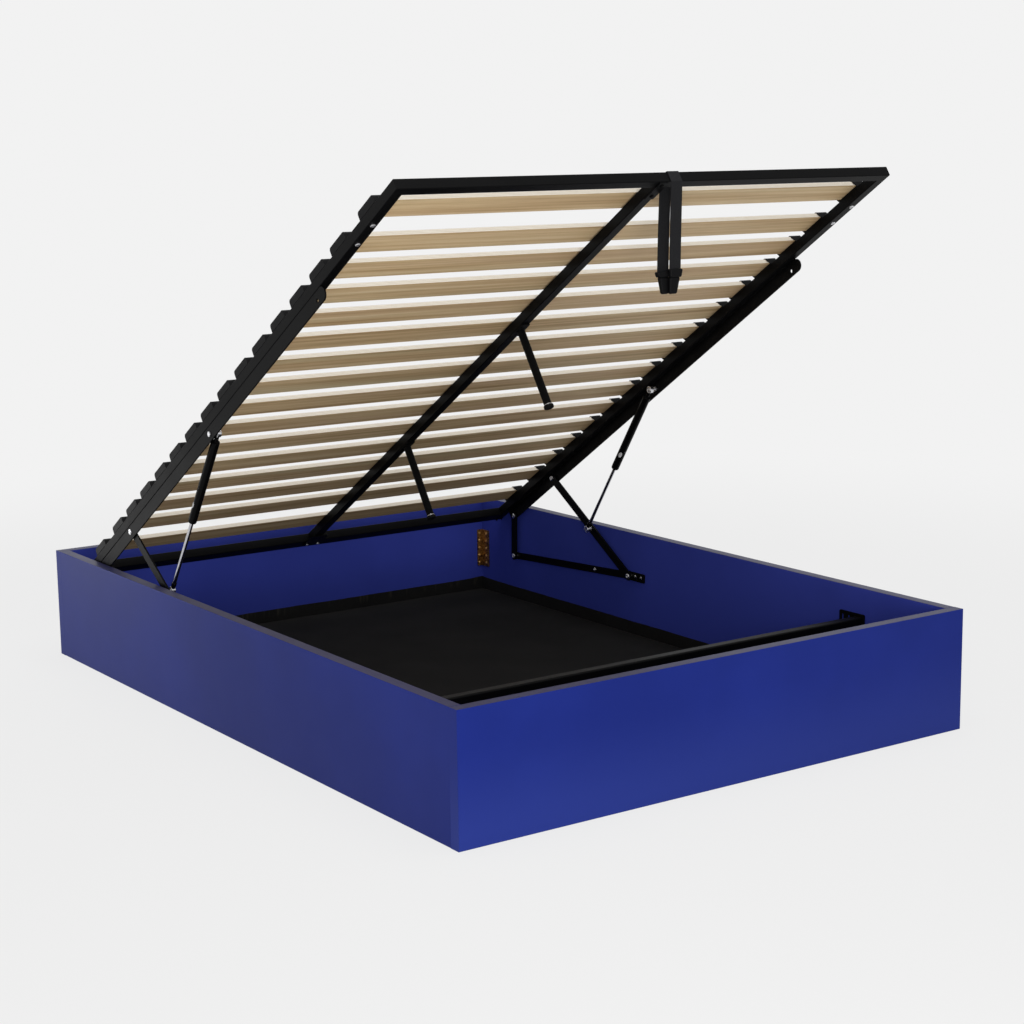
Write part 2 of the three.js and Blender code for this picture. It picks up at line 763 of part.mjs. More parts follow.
function beamFootPlate() {
  const half = tubeSize / 2;
  const start = footEdge + beamPlateSetBack;
  const shape = outline([
    [-beamFootPlateWidth / 2, start], [beamFootPlateWidth / 2, start],
    [beamFootPlateWidth / 2, footEdge + tubeSize], [half, footEdge + beamFootPlateLength],
    [-half, footEdge + beamFootPlateLength], [-beamFootPlateWidth / 2, footEdge + tubeSize],
  ]);
  return beamPlate(shape, footEdge, footEdge + tubeSize, footEdge + beamScrewPlace);
}

function beamHeadPlate() {
  const end = -headTubeWidth / 4;
  const start = -headTubeWidth - beamHeadPlateLength;
  const shape = bevelled(-beamHeadPlateWidth / 2, beamHeadPlateWidth / 2, start, end, beamPlateCorner);
  return beamPlate(shape, -headTubeWidth, end, -headTubeWidth / 2);
}

function makeLidFrame() {
  const footSection = tubeOutline(footEdge, footEdge + tubeSize, -tubeSize, 0, tubeWall);
  const footTube = across(footSection, -railOuterX, railOuterX);
  add(lid, 'foot_tube', fuse(footTube, ...footTubeBolts(), ...beamFootPlate()), finish.blackSteel);
  for (const [side, name] of sides) {
    add(lid, `foot_arm_${name}`, footArm(side), finish.blackSteel);
    add(lid, `side_rail_${name}`, sideRail(side), finish.blackSteel);
  }
  const headSection = tubeOutline(-headTubeWidth, 0, -tubeSize, 0, tubeWall);
  const half = railInnerX - seatGap;
  const headTube = fuse(across(headSection, -half, half), ...beamHeadPlate());
  add(lid, 'head_tube', headTube, finish.blackSteel);
  const beamSection = tubeOutline(-tubeSize / 2, tubeSize / 2, -tubeSize, 0, tubeWall);
  const beam = along(beamSection, footEdge + tubeSize + seatGap, -headTubeWidth - seatGap);
  add(lid, 'centre_beam', beam, finish.blackSteel);
}

// Lift arms: deep plates under the side rails, with a round foot end
function liftArm(side) {
  const top = -tubeSize - seatGap;
  const radius = armDepth / 2;
  const middle = top - radius;
  const start = footEdge + armFootPlace;
  const shape = new THREE.Shape();
  shape.moveTo(start + radius, top);
  shape.absarc(start + radius, middle, radius, Math.PI / 2, 1.5 * Math.PI, false);
  shape.lineTo(-armRearPlace - armCorner, top - armDepth);
  shape.lineTo(-armRearPlace, top - armDepth + armCorner);
  shape.lineTo(-armRearPlace, top);
  shape.holes.push(round(armHoleRadius, start + armHoleFromEnd, middle - armHoleDrop));
  shape.holes.push(round(studBore, -strutPivotFromEnd, -strutPivotDepth));
  const plate = across(shape, inside(side, armNear), inside(side, armFar));
  const rearHead = armBoltHead(side, rearPivotFromEnd, rearPivotDepth);
  const frontHead = armBoltHead(side, frontPivotFromEnd, frontPivotDepth);
  return fuse(plate, rearHead, frontHead);
}

// The low head of a link's bolt on the outside of the arm
function armBoltHead(side, fromEnd, depth) {
  const head = armNear - outerHeadHeight;
  return turnedInwards(side, [
    [head, boltHeadRadius * headCrown], [head + outerHeadHeight * headRim, boltHeadRadius],
    [armNear + screwSink, boltHeadRadius],
  ], -fromEnd, -depth);
}

// The strut's ball stud in the arm
function upperStud(side) {
  const outer = armNear - seatGap;
  const head = outer - outerHeadHeight;
  const inner = armFar + seatGap;
  const collarFar = inner + studCollarWidth;
  const shank = turnedInwards(side, [
    [head, studCollarRadius * headCrown], [head + outerHeadHeight * headRim, studCollarRadius],
    [outer, studCollarRadius], [outer, studRadius], [inner, studRadius], [inner, studCollarRadius],
    [collarFar, studCollarRadius], [collarFar, studTipRadius], [strutInset, studTipRadius],
  ], -strutPivotFromEnd, -strutPivotDepth);
  const ball = new THREE.SphereGeometry(ballRadius, turnedSides, turnedSides / 2);
  ball.translate(inside(side, strutInset), -strutPivotFromEnd, -strutPivotDepth);
  return fuse(shank, ball);
}

function makeArms() {
  for (const [side, name] of sides) {
    add(lid, `lift_arm_${name}`, liftArm(side), finish.blackSteel);
    add(lid, `strut_stud_${name}`, upperStud(side), finish.bolt);
  }
}

// Slats and caps. The first and the last slat stand off; the others have one even pitch
function slatPlace(index) {
  if (index === 0) {
    return footEdge + firstSlatPlace;
  }
  if (index === slatCount - 1) {
    return -firstSlatPlace;
  }
  const pitch = (lidLength - 2 * secondSlatPlace) / (slatCount - 3);
  return footEdge + secondSlatPlace + (index - 1) * pitch;
}

function slat(y) {
  const end = railOuterX - (capDepth - capPocketDepth) - slatFit;
  const near = y - slatWidth / 2;
  const section = bevelled(near, near + slatWidth, capFloor, capFloor + slatThickness, slatBevel);
  return across(section, -end, end);
}

function slatCap(side, y) {
  const foot = y - capLength / 2;
  const head = y + capLength / 2;
  const shoulder = capHeight - capChamfer;
  const outerX = side * railOuterX;
  const innerX = side * (railOuterX - capDepth);
  const shape = outline([
    [foot, 0], [head, 0], [head, shoulder],
    [head - capChamfer, capHeight], [foot + capChamfer, capHeight], [foot, shoulder],
  ]);
  const pocket = rectangle(
    y - slatWidth / 2 - slatFit, y + slatWidth / 2 + slatFit,
    capFloor - slatFit, capFloor + slatThickness + slatFit,
  );
  const mouth = side * (railOuterX - capDepth - seatGap);
  const stop = side * (railOuterX - (capDepth - capPocketDepth));
  return cut(across(shape, outerX, innerX), across(pocket, stop, mouth));
}

// The caps of one side that stand where the test says
function slatCaps(side, test) {
  const places = Array.from({ length: slatCount }, (_, index) => slatPlace(index));
  return places.filter(test).map((y) => slatCap(side, y));
}

function makeSlats() {
  for (let index = 0; index < slatCount; index += 1) {
    const number = String(index + 1).padStart(2, '0');
    add(lid, `slat_${number}`, slat(slatPlace(index)), finish.birch);
  }
}

// Centre legs, square to the lid, that reach the floor cloth when the lid is down
function makeLegs() {
  const top = -tubeSize - seatGap;
  const end = clothThickness + legFloorClearance - lidTopHeight;
  for (const [direction, name] of [[-1, 'foot'], [1, 'head']]) {
    const y = footEdge / 2 + direction * legSpread;
    const plate = upright(bevelled(
      -legPlateWidth / 2, legPlateWidth / 2, y - legPlateLength / 2, y + legPlateLength / 2, legPlateCorner,
    ), top - legPlateThickness, top);
    const footTop = end + legFootHeight;
    const tube = new THREE.LatheGeometry([
      [0, end], [legFootRadius - legFootChamfer, end], [legFootRadius, end + legFootChamfer],
      [legFootRadius, footTop - legFootChamfer], [legRadius, footTop],
      [legRadius, top - legPlateThickness / 2], [0, top - legPlateThickness / 2],
    ].map(([r, z]) => new THREE.Vector2(r, z)), turnedSides);
    tube.rotateX(Math.PI / 2).translate(0, y, 0);
    add(lid, `centre_leg_${name}`, fuse(plate, tube), finish.blackSteel);
  }
}

// Offsets an open line of points to its left by a distance, with mitred corners
function offsetLine(points, distance) {
  const leftOf = (from, to) => {
    const run = to.clone().sub(from).normalize();
    return new THREE.Vector2(-run.y, run.x);
  };
  return points.map((point, index) => {
    const before = index > 0 ? leftOf(points[index - 1], point) : leftOf(point, points[index + 1]);
    const after = index < points.length - 1 ? leftOf(point, points[index + 1]) : before;
    const middle = before.clone().add(after).normalize();
    return point.clone().add(middle.multiplyScalar(distance / middle.dot(after)));
  });
}

// Pull strap: webbing that goes over the foot tube and hangs plumb with the lid open
function makeStrap() {
  const hang = new THREE.Group();
  hang.position.set(strapPlace, footEdge, 0);
  hang.rotation.x = openTilt * radians;
  lid.add(hang);
  const corner = (run, depth) => lidPlace(new THREE.Vector2(0, 0), openTilt, -run, depth);
  const footLow = corner(0, tubeSize);
  const headTop = corner(tubeSize, 0);
  const gripTop = -strapDrop;
  const middle = (footLow.x + headTop.x) / 2;
  const spread = gripThickness / 2 - strapThickness - strapGap;
  const path = [
    new THREE.Vector2(middle - spread, gripTop - screwSink),
    footLow,
    corner(0, 0),
    headTop,
    new THREE.Vector2(middle + spread, gripTop - screwSink),
  ];
  const near = offsetLine(path, strapGap);
  const far = offsetLine(path, strapGap + strapThickness);
  const level = (point) => new THREE.Vector2(point.x, gripTop - screwSink);
  near[0] = level(near[0]);
  far[0] = level(far[0]);
  near[path.length - 1] = level(near[path.length - 1]);
  far[path.length - 1] = level(far[path.length - 1]);
  const band = new THREE.Shape([...near, ...far.reverse()]);
  const webbing = across(band, -strapWidth / 2, strapWidth / 2);
  const half = gripThickness / 2;
  const bandBottom = gripTop - gripBandHeight;
  const rightSide = [
    [gripEndWidth / 2, gripTop - gripLength], [gripTopWidth / 2 - gripBandLip, bandBottom],
    [gripTopWidth / 2, bandBottom], [gripTopWidth / 2, gripTop],
  ];
  const leftSide = rightSide.map(([x, z]) => [-x, z]).reverse();
  const grip = along(outline([...rightSide, ...leftSide]), middle - half, middle + half);
  add(hang, 'pull_strap', fuse(webbing, grip), finish.webbing);
}

makeBox();
makeCorners();
makeFloorCloth();
makeFootBar();
makeBase();
makeLidFrame();
makeArms();
makeSlats();
makeLegs();
makeStrap();
for (const [side, name] of sides) {
  makeLinks(side, name);
  makeStrut(side, name);
}

bed.traverse((piece) => {
  if (piece.isMesh) {
    piece.geometry = bare(piece.geometry);
  }
});

export default bed;
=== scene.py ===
import math
from contextlib import contextmanager

import bmesh
import bpy
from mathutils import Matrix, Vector, noise


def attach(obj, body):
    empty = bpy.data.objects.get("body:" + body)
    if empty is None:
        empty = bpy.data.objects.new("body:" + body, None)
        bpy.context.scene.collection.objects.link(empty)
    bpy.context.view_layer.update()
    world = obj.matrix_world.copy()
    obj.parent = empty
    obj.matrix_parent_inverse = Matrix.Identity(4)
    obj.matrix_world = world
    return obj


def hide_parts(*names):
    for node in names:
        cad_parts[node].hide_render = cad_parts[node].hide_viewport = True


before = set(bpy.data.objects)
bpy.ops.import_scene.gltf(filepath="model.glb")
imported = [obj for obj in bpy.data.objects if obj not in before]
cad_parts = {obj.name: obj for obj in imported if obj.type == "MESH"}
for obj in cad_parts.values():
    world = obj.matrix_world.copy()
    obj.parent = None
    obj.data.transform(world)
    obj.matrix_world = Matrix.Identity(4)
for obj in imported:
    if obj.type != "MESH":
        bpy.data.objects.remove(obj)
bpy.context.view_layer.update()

# Measures of the bed in metres. X runs across it, Y to its head end and Z up
INNER_X = 0.700
INNER_Y = 1.000
BOARD = 0.030
BOARD_TOP = 0.300
RAIL_OUT = 0.696
TUBE = 0.025
RAIL_IN = RAIL_OUT - TUBE
LID_LENGTH = 1.990
SPLICE = -1.812
HEAD_TUBE = 0.040
TIE_LOW = -0.0283

# The lid's own Y is 0 at its hinge end and falls to the foot, its own Z is 0 at its top
LID_PLACE = Vector((0, 0.8933256, 0.2663624))
LID_TURN = math.radians(-33)

# Pivots with the lid open, as Y and Z: base and lid ends of the links, ends of the gas strut
REAR_BASE = Vector((0.8018966, 0.1400000))
REAR_LID = Vector((0.7990000, 0.2680000))
FRONT_BASE = Vector((0.2221149, 0.1730000))
FRONT_LID = Vector((0.5944847, 0.4139298))
STRUT_TOP = Vector((0.1013898, 0.7305722))
STRUT_FOOT = Vector((0.3992676, 0.2876209))
STRUT_X = 0.672
LINK_NEAR = 0.685
LINK_FAR = 0.690
HEAD_SEAT = 0.6847
STRAP_X = 0.033
STRAP_HALF = 0.016

X_AXIS = Vector((1, 0, 0))
Y_AXIS = Vector((0, 1, 0))
Z_AXIS = Vector((0, 0, 1))


# Bench work: one piece at a time, shaped by the modelling tools
def choose(*things):
    """Selects these things alone, the first one active."""
    bpy.ops.object.select_all(action="DESELECT")
    for thing in things:
        thing.select_set(True)
    bpy.context.view_layer.objects.active = things[0]


def settle(*things):
    """Puts each thing's place, turn and scale into its mesh."""
    choose(*things)
    bpy.ops.object.transform_apply(location=True, rotation=True, scale=True)


@contextmanager
def bench(piece):
    """Opens a piece for shaping and gives a way to pick faces, edges or corners by a test."""
    choose(piece)
    bpy.ops.object.mode_set(mode="EDIT")

    def pick(kind, test):
        bpy.ops.mesh.select_mode(type=kind)
        bpy.ops.mesh.select_all(action="DESELECT")
        mesh = bmesh.from_edit_mesh(piece.data)
        for item in {"VERT": mesh.verts, "EDGE": mesh.edges, "FACE": mesh.faces}[kind]:
            if test(item):
                item.select_set(True)
        mesh.select_flush_mode()
        bmesh.update_edit_mesh(piece.data)

    yield pick
    bpy.ops.object.mode_set(mode="OBJECT")


def facing(direction):
    """A test for faces that look one way."""
    wanted = Vector(direction)
    return lambda face: face.normal.dot(wanted) > 0.9


def running(axis, where=lambda middle: True):
    """A test for edges that run along an axis and whose middle passes a test."""
    def test(edge):
        first, second = (corner.co for corner in edge.verts)
        run = (second - first).normalized()
        return abs(run.dot(axis)) > 0.99 and where((first + second) / 2)
    return test


def named(name):
    """Names the active piece and its mesh."""
    piece = bpy.context.object
    piece.name = name
    piece.data.name = name
    return piece


def block(name, low, high):
    """A rectangular blank between two corners."""
    low, high = Vector(low), Vector(high)
    bpy.ops.object.select_all(action="DESELECT")
    bpy.ops.mesh.primitive_cube_add(size=1, location=(low + high) / 2, scale=high - low)
    piece = named(name)
    settle(piece)
    return piece


def pull(x, y, z):
    """Extrudes what is picked. Used on the bench."""
    bpy.ops.mesh.extrude_region_move(TRANSFORM_OT_translate={"value": (x, y, z)})


def finish_picked(piece, number):
    """Gives the picked faces one of the piece's finishes. Used on the bench."""
    piece.active_material_index = number
    bpy.ops.object.material_slot_assign()


def turned(name, profile, sides=24):
    """A round piece about Z from pairs of radius and height, pulled up ring by ring."""
    radius, height = profile[0]
    bpy.ops.object.select_all(action="DESELECT")
    bpy.ops.mesh.primitive_circle_add(
        vertices=sides, radius=radius, fill_type="NGON", location=(0, 0, height))
    piece = named(name)
    settle(piece)
    with bench(piece):
        bpy.ops.mesh.select_all(action="SELECT")
        for (before, low), (after, high) in zip(profile, profile[1:]):
            pull(0, 0, high - low)
            ratio = after / before
            bpy.ops.transform.resize(value=(ratio, ratio, 1), center_override=(0, 0, high))
        tidy_faces()
    return piece


def tidy_faces():
    """Merges doubled corners and turns all faces outwards. Used on the bench."""
    bpy.ops.mesh.select_mode(type="VERT")
    bpy.ops.mesh.select_all(action="SELECT")
    bpy.ops.mesh.remove_doubles(threshold=0.000005)
    bpy.ops.mesh.normals_make_consistent(inside=False)


def modify(piece, kind, **settings):
    """Adds a modifier to a piece and applies it."""
    tool = piece.modifiers.new("step", kind)
    for setting, value in settings.items():
        setattr(tool, setting, value)
    choose(piece)
    bpy.ops.object.modifier_apply(modifier=tool.name)


def round_off(piece, radius, axis, where=lambda middle: True, segments=6):
    """Rounds the edges that run along an axis; one segment makes a chamfer."""
    with bench(piece) as pick:
        pick("EDGE", running(axis, where))
        bpy.ops.mesh.bevel(offset=radius, segments=segments, affect="EDGES")
        tidy_faces()


def carve(piece, cutter):
    """Takes a cutter's shape out of a piece."""
    modify(piece, "BOOLEAN", operation="DIFFERENCE", solver="EXACT", object=cutter)
    bpy.data.objects.remove(cutter)


def copy_of(piece, name):
    """A copy with a mesh of its own."""
    choose(piece)
    bpy.ops.object.duplicate(linked=False)
    return named(name)


def aim(piece, place, direction):
    """Puts a piece that was made about Z at its place, its Z turned to a direction."""
    piece.rotation_mode = "QUATERNION"
    piece.rotation_quaternion = Z_AXIS.rotation_difference(Vector(direction))
    piece.location = place
    settle(piece)
    return piece


def move(piece, place, turn=0.0):
    """Turns a piece about X and moves it."""
    piece.rotation_mode = "XYZ"
    piece.rotation_euler = (turn, 0, 0)
    piece.location = place
    settle(piece)
    return piece


def onto_lid(piece):
    """Sets a piece that was made on the lid's own axes into the open lid."""
    return move(piece, LID_PLACE, LID_TURN)


def flipped(piece, name, scale=(-1, 1, 1)):
    """A mirror image of a piece."""
    image = copy_of(piece, name)
    image.scale = scale
    settle(image)
    with bench(image):
        tidy_faces()
    return image


def paint(piece, look):
    """Gives the whole piece one finish."""
    piece.data.materials.clear()
    piece.data.materials.append(look)
    return piece


def join(name, *pieces):
    """Makes one piece of several; each keeps its finish."""
    choose(*pieces)
    bpy.ops.object.join()
    return named(name)


def ease(piece, width, segments, angle):
    """Rounds the edges that are sharper than an angle."""
    modify(piece, "BEVEL", width=width, segments=segments, limit_method="ANGLE",
           angle_limit=math.radians(angle), harden_normals=False)


def soften(piece, width):
    """Breaks the sharp edges of a piece and shades it smooth."""
    if width:
        ease(piece, width, 2, 32)
    choose(piece)
    bpy.ops.object.shade_smooth_by_angle(angle=math.radians(50))
    modify(piece, "WEIGHTED_NORMAL", keep_sharp=True)


def set_out(name, data):
    """Puts new data into the scene as an object."""
    thing = bpy.data.objects.new(name, data)
    bpy.context.scene.collection.objects.link(thing)
    return thing


def piece_from(sheet, name):
    """Makes a piece of faces that were laid out one by one."""
    mesh = bpy.data.meshes.new(name)
    sheet.to_mesh(mesh)
    sheet.free()
    return set_out(name, mesh)


def fit(piece, body, slot, look, *nodes, edge):
    """Finishes a piece and hangs it on its body, in the place of the model's nodes."""
    soften(piece, edge)
    if not piece.data.materials:
        piece.data.materials.append(look)
    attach(piece, body)
    if nodes:
        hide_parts(*nodes)


def fit_pair(piece, body, slot, look, *nodes, **finish):
    """Fits a piece on the right and its mirror image on the left."""
    left = flipped(piece, piece.name.replace("right", "left"))
    for thing, side in ((piece, "right"), (left, "left")):
        fit(thing, body.format(side), slot, look, *[node.format(side) for node in nodes], **finish)


# Finishes: procedural materials, their maths written as plain expressions
class Wire:
    """A value on its way through a material; sums and products of wires add Math nodes."""

    def __init__(self, look, socket):
        self.look = look
        self.socket = socket

    def __add__(self, other):
        return self.look.math("ADD", self, other)

    def __sub__(self, other):
        return self.look.math("SUBTRACT", self, other)

    def __rsub__(self, other):
        return self.look.math("SUBTRACT", other, self)

    def __mul__(self, other):
        return self.look.math("MULTIPLY", self, other)

    __radd__ = __add__
    __rmul__ = __mul__


class Finish:
    """A material for one kind of surface on the bed."""

    def __init__(self, name, **fixed):
        self.material = bpy.data.materials.new(name)
        self.material.use_nodes = True
        self.tree = self.material.node_tree
        self.shader = self.tree.nodes["Principled BSDF"]
        for socket, value in fixed.items():
            self.shader.inputs[socket.replace("_", " ")].default_value = value

    def node(self, kind, settings, values, output=0):
        """Adds a node: its settings first, then the values or links of its sockets."""
        made = self.tree.nodes.new("ShaderNode" + kind)
        for setting, value in settings.items():
            if setting == "stops":
                self.set_stops(made.color_ramp, value)
            else:
                setattr(made, setting, value)
        for socket, value in values.items():
            if isinstance(value, Wire):
                self.tree.links.new(value.socket, made.inputs[socket])
            else:
                made.inputs[socket].default_value = value
        return Wire(self, made.outputs[output])

    @staticmethod
    def set_stops(ramp, stops):
        for element, (position, colour) in zip(ramp.elements, (stops[0], stops[-1])):
            element.position = position
            element.color = (*colour, 1)
        for position, colour in stops[1:-1]:
            ramp.elements.new(position).color = (*colour, 1)

    def math(self, operation, first, second=0.0):
        return self.node("Math", {"operation": operation}, {0: first, 1: second})

    def place(self, scale=(1, 1, 1), on_lid=False):
        """Where a point lies on the piece, in metres, on the lid's own axes if asked."""
        where = self.node("TexCoord", {}, {}, "Object")
        if on_lid:
            where = self.node("Mapping", {"vector_type": "TEXTURE"}, {
                "Vector": where, "Location": LID_PLACE, "Rotation": (LID_TURN, 0, 0)})
        return self.node("Mapping", {}, {"Vector": where, "Scale": scale})

    def grain(self, where, scale, detail=2.0, roughness=0.5):
        """A soft random value from 0 to 1."""
        return self.node("TexNoise", {}, {
            "Vector": where, "Scale": scale, "Detail": detail, "Roughness": roughness})

    def ramp(self, factor, *stops):
        return self.node("ValToRGB", {"stops": stops}, {"Fac": factor})

    def step(self, factor, low, high):
        """Rises from 0 to 1 between two values."""
        return self.node("MapRange", {"interpolation_type": "SMOOTHSTEP"}, {
            "Value": factor, "From Min": low, "From Max": high})

    def mix(self, factor, first, second):
        colours = [c if isinstance(c, Wire) else (*c, 1) for c in (first, second)]
        return self.node("Mix", {"data_type": "RGBA"}, {0: factor, 6: colours[0], 7: colours[1]}, 2)

    def seen(self):
        """1 for what the camera or a mirror looks at, 0 where light only bounces."""
        rays = self.node("LightPath", {}, {}, "Is Camera Ray")
        for kind in ("Glossy", "Transmission"):
            rays = self.math("MAXIMUM", rays, self.node("LightPath", {}, {}, f"Is {kind} Ray"))
        return rays

    def axis(self, where, index):
        return self.node("SeparateXYZ", {}, {"Vector": where}, index)

    def feed(self, bump=None, **sockets):
        """Links wires to the shader, and a height in metres to its normal."""
        for socket, value in sockets.items():
            self.tree.links.new(value.socket, self.shader.inputs[socket.replace("_", " ")])
        if bump:
            height, distance, strength = bump
            normal = self.node("Bump", {}, {
                "Height": height, "Distance": distance, "Strength": strength}, "Normal")
            self.tree.links.new(normal.socket, self.shader.inputs["Normal"])
        return self.material


class Surround(Finish):
    """The world's nodes, made by the same method."""

    def __init__(self, name):
        world = bpy.data.worlds.new(name)
        bpy.context.scene.world = world
        world.use_nodes = True
        self.tree = world.node_tree
        self.tree.nodes.clear()


def make_lacquer(name, base, roughness, shine, painted_floor_light=None):
    """Sprayed satin lacquer: faint orange peel, slight cloudiness, and if asked a painted reflection of
    the floor that makes it paler near the floor.
    """
    look = Finish(name, Specular_IOR_Level=shine)
    where = look.place()
    cloud = look.grain(where, 2.2, 3)
    haze = look.grain(where, 14, 4)
    peel = look.grain(where, 420, 1)
    light = tuple(channel * 1.10 + 0.0008 for channel in base)
    dark = tuple(channel * 0.90 for channel in base)
    colour = look.mix(look.step(cloud, 0.35, 0.68), dark, light)
    # Painted light: below about 0.24 m the paint is mixed towards a paler tone, a painted reflection of
    # the bright floor.
    if painted_floor_light:
        colour = look.mix(look.step(look.axis(where, 2), 0.24, -0.02), colour, painted_floor_light)
    return look.feed(
        Base_Color=colour,
        Roughness=roughness + (haze - 0.5) * 0.10 + (peel - 0.5) * 0.05,
        bump=(peel, 0.0006, 0.10),
    )


def make_powder_coat(name, base, roughness, depth=0.16):
    """Black powder coat with its fine pebbled skin."""
    look = Finish(name, Specular_IOR_Level=0.045)
    where = look.place()
    pebble = look.grain(where, 1500, 2)
    patch = look.grain(where, 9, 3)
    dark = tuple(channel * 0.75 for channel in base)
    light = tuple(channel * 1.5 for channel in base)
    return look.feed(
        Base_Color=look.mix(patch, dark, light),
        Roughness=roughness + (patch - 0.5) * 0.12 + (pebble - 0.5) * 0.10,
        bump=(pebble, 0.0004, depth),
    )


def make_birch_face():
    """Rotary cut birch veneer: long streaks across the bed, fine fibres, pale and pink bands."""
    look = Finish("birch_face", Specular_IOR_Level=0.25)
    streak = look.grain(look.place((1.3, 85, 85), True), 1.0, 5, 0.60)
    band = look.grain(look.place((0.35, 14, 14), True), 1.0, 3)
    fibre = look.grain(look.place((14, 760, 760), True), 1.0, 3, 0.6)
    tone = look.ramp(
        streak,
        (0.28, (0.39, 0.245, 0.110)), (0.44, (0.58, 0.400, 0.210)),
        (0.60, (0.71, 0.530, 0.305)), (0.78, (0.80, 0.650, 0.420)),
    )
    pinkish = look.mix(look.step(band, 0.48, 0.66) * 0.45, tone, (0.60, 0.41, 0.245))
    greenish = look.mix(look.step(band, 0.52, 0.30) * 0.35, pinkish, (0.50, 0.44, 0.27))
    colour = look.mix(look.step(fibre, 0.50, 0.72) * 0.35, greenish, (0.36, 0.235, 0.135))
    return look.feed(
        Base_Color=colour,
        Roughness=0.52 + (fibre - 0.5) * 0.16,
        bump=(fibre, 0.0005, 0.16),
    )


def make_birch_edge():
    """The cut edge of the slats, where the layers of veneer show as thin lines."""
    look = Finish("birch_edge", Specular_IOR_Level=0.25)
    where = look.place((1, 1, 1), True)
    layer = look.math("PINGPONG", look.axis(where, 2) + 1.0, 0.0017) * (1 / 0.0017)
    speck = look.grain(look.place((60, 900, 900), True), 1.0, 3)
    pale = look.mix(speck, (0.75, 0.67, 0.54), (0.88, 0.84, 0.75))
    colour = look.mix(look.step(layer, 0.72, 0.95) * 0.75, pale, (0.36, 0.23, 0.125))
    return look.feed(
        Base_Color=colour,
        Roughness=0.66 + (speck - 0.5) * 0.2,
        bump=(speck + layer * -0.6, 0.0004, 0.25),
    )


def make_moulded(name, base, roughness):
    """Moulded plastic with a fine spark grain."""
    look = Finish(name, Specular_IOR_Level=0.07)
    where = look.place()
    spark = look.grain(where, 2300, 1)
    sheen = look.grain(where, 55, 3)
    light = tuple(channel * 1.7 for channel in base)
    return look.feed(
        Base_Color=look.mix(sheen, base, light),
        Roughness=roughness + (sheen - 0.5) * 0.14 + (spark - 0.5) * 0.06,
        bump=(spark, 0.0002, 0.2),
    )


def make_metal(name, bright, dull, roughness, scale=260.0):
    """Plated metal with small clouds of duller plating."""
    look = Finish(name, Metallic=1.0)
    where = look.place()
    cloud = look.grain(where, scale, 4, 0.6)
    scratch = look.grain(look.place((900, 40, 900)), 1.0, 2)
    return look.feed(
        Base_Color=look.mix(look.step(cloud, 0.40, 0.66), bright, dull),
        Roughness=roughness + (cloud - 0.5) * 0.20 + (scratch - 0.5) * 0.08,
        bump=(scratch, 0.0001, 0.12),
    )


def make_felt():
    """Black needled cloth with loose fibres and a little grey lint."""
    look = Finish("floor_cloth_felt", Specular_IOR_Level=0.06)
    where = look.place()
    fibre = look.grain(where, 900, 4, 0.7)
    lint = look.grain(where, 260, 2)
    patch = look.grain(where, 6, 3)
    colour = look.mix(patch, (0.0095, 0.0093, 0.0094), (0.0195, 0.0191, 0.0188))
    colour = look.mix(look.step(lint, 0.66, 0.78) * 0.35, colour, (0.045, 0.043, 0.038))
    thread = look.grain(look.place((70, 70, 3)), 1.0, 3)
    frayed = look.step(look.axis(where, 2), 0.010, 0.030) * look.step(thread, 0.52, 0.70)
    at_head = look.step(look.axis(where, 1), 0.984, 0.993)
    colour = look.mix(frayed * at_head * 0.5, colour, (0.050, 0.046, 0.034))
    return look.feed(
        Base_Color=colour,
        Roughness=0.92 + (fibre - 0.5) * 0.12,
        bump=(fibre, 0.0012, 0.5),
    )


def make_webbing():
    """Woven polyester webbing: a twill that runs in arrowheads, on the strap's own surface, its hollows
    darkened as painted shade.
    """
    look = Finish("strap_webbing", Specular_IOR_Level=0.15)
    pitch = 0.0021
    where = look.node("TexCoord", {}, {}, "UV")
    along = look.axis(where, 1)
    across = look.math("PINGPONG", look.axis(where, 0), 0.008)
    turn = 2 * math.pi / pitch
    rib = look.math("SINE", (along + across) * turn)
    thread = look.math("SINE", (along - across) * (turn * 1.9))
    height = rib * 0.7 + thread * 0.3
    fuzz = look.grain(look.place(), 1300, 3)
    # Painted shade: the colour is darker where the weave lies low and lighter on its ribs.
    colour = look.mix(look.step(height, -0.8, 0.9), (0.004, 0.004, 0.005), (0.019, 0.019, 0.021))
    return look.feed(
        Base_Color=colour,
        Roughness=0.70 + (fuzz - 0.5) * 0.2,
        bump=(height + fuzz * 0.5, 0.0005, 0.5),
    )


BLUE = (0.0115, 0.0255, 0.222)
lacquer = make_lacquer("blue_lacquer", BLUE, 0.35, 0.07)
# The foot board's lacquer carries a painted floor reflection, paler towards the floor.
foot_lacquer_painted_light = make_lacquer("blue_lacquer_foot", BLUE, 0.35, 0.07, (0.0235, 0.0420, 0.262))
# Painted light: the inside faces get a paler, chalkier lacquer that stands in for light on the box's
# inner faces.
inside_lacquer_painted_light = make_lacquer("blue_lacquer_inside", (0.0390, 0.0570, 0.355), 0.50, 0.08)
edge_lacquer = make_lacquer("blue_lacquer_edge", (0.0190, 0.0195, 0.070), 0.42, 0.22)
black_coat = make_powder_coat("black_powder_coat", (0.0026, 0.0026, 0.0028), 0.42)
gloss_black = make_powder_coat("strut_black_paint", (0.0030, 0.0030, 0.0032), 0.26, 0.03)
birch_face = make_birch_face()
birch_edge = make_birch_edge()
cap_plastic = make_moulded("cap_plastic", (0.0028, 0.0028, 0.0031), 0.46)
foot_rubber = make_moulded("foot_rubber", (0.0040, 0.0040, 0.0040), 0.68)
disc_plastic = make_moulded("plain_white_disc", (0.50, 0.50, 0.50), 0.50)
zinc = make_metal("zinc_plate", (0.68, 0.68, 0.70), (0.46, 0.46, 0.48), 0.28)
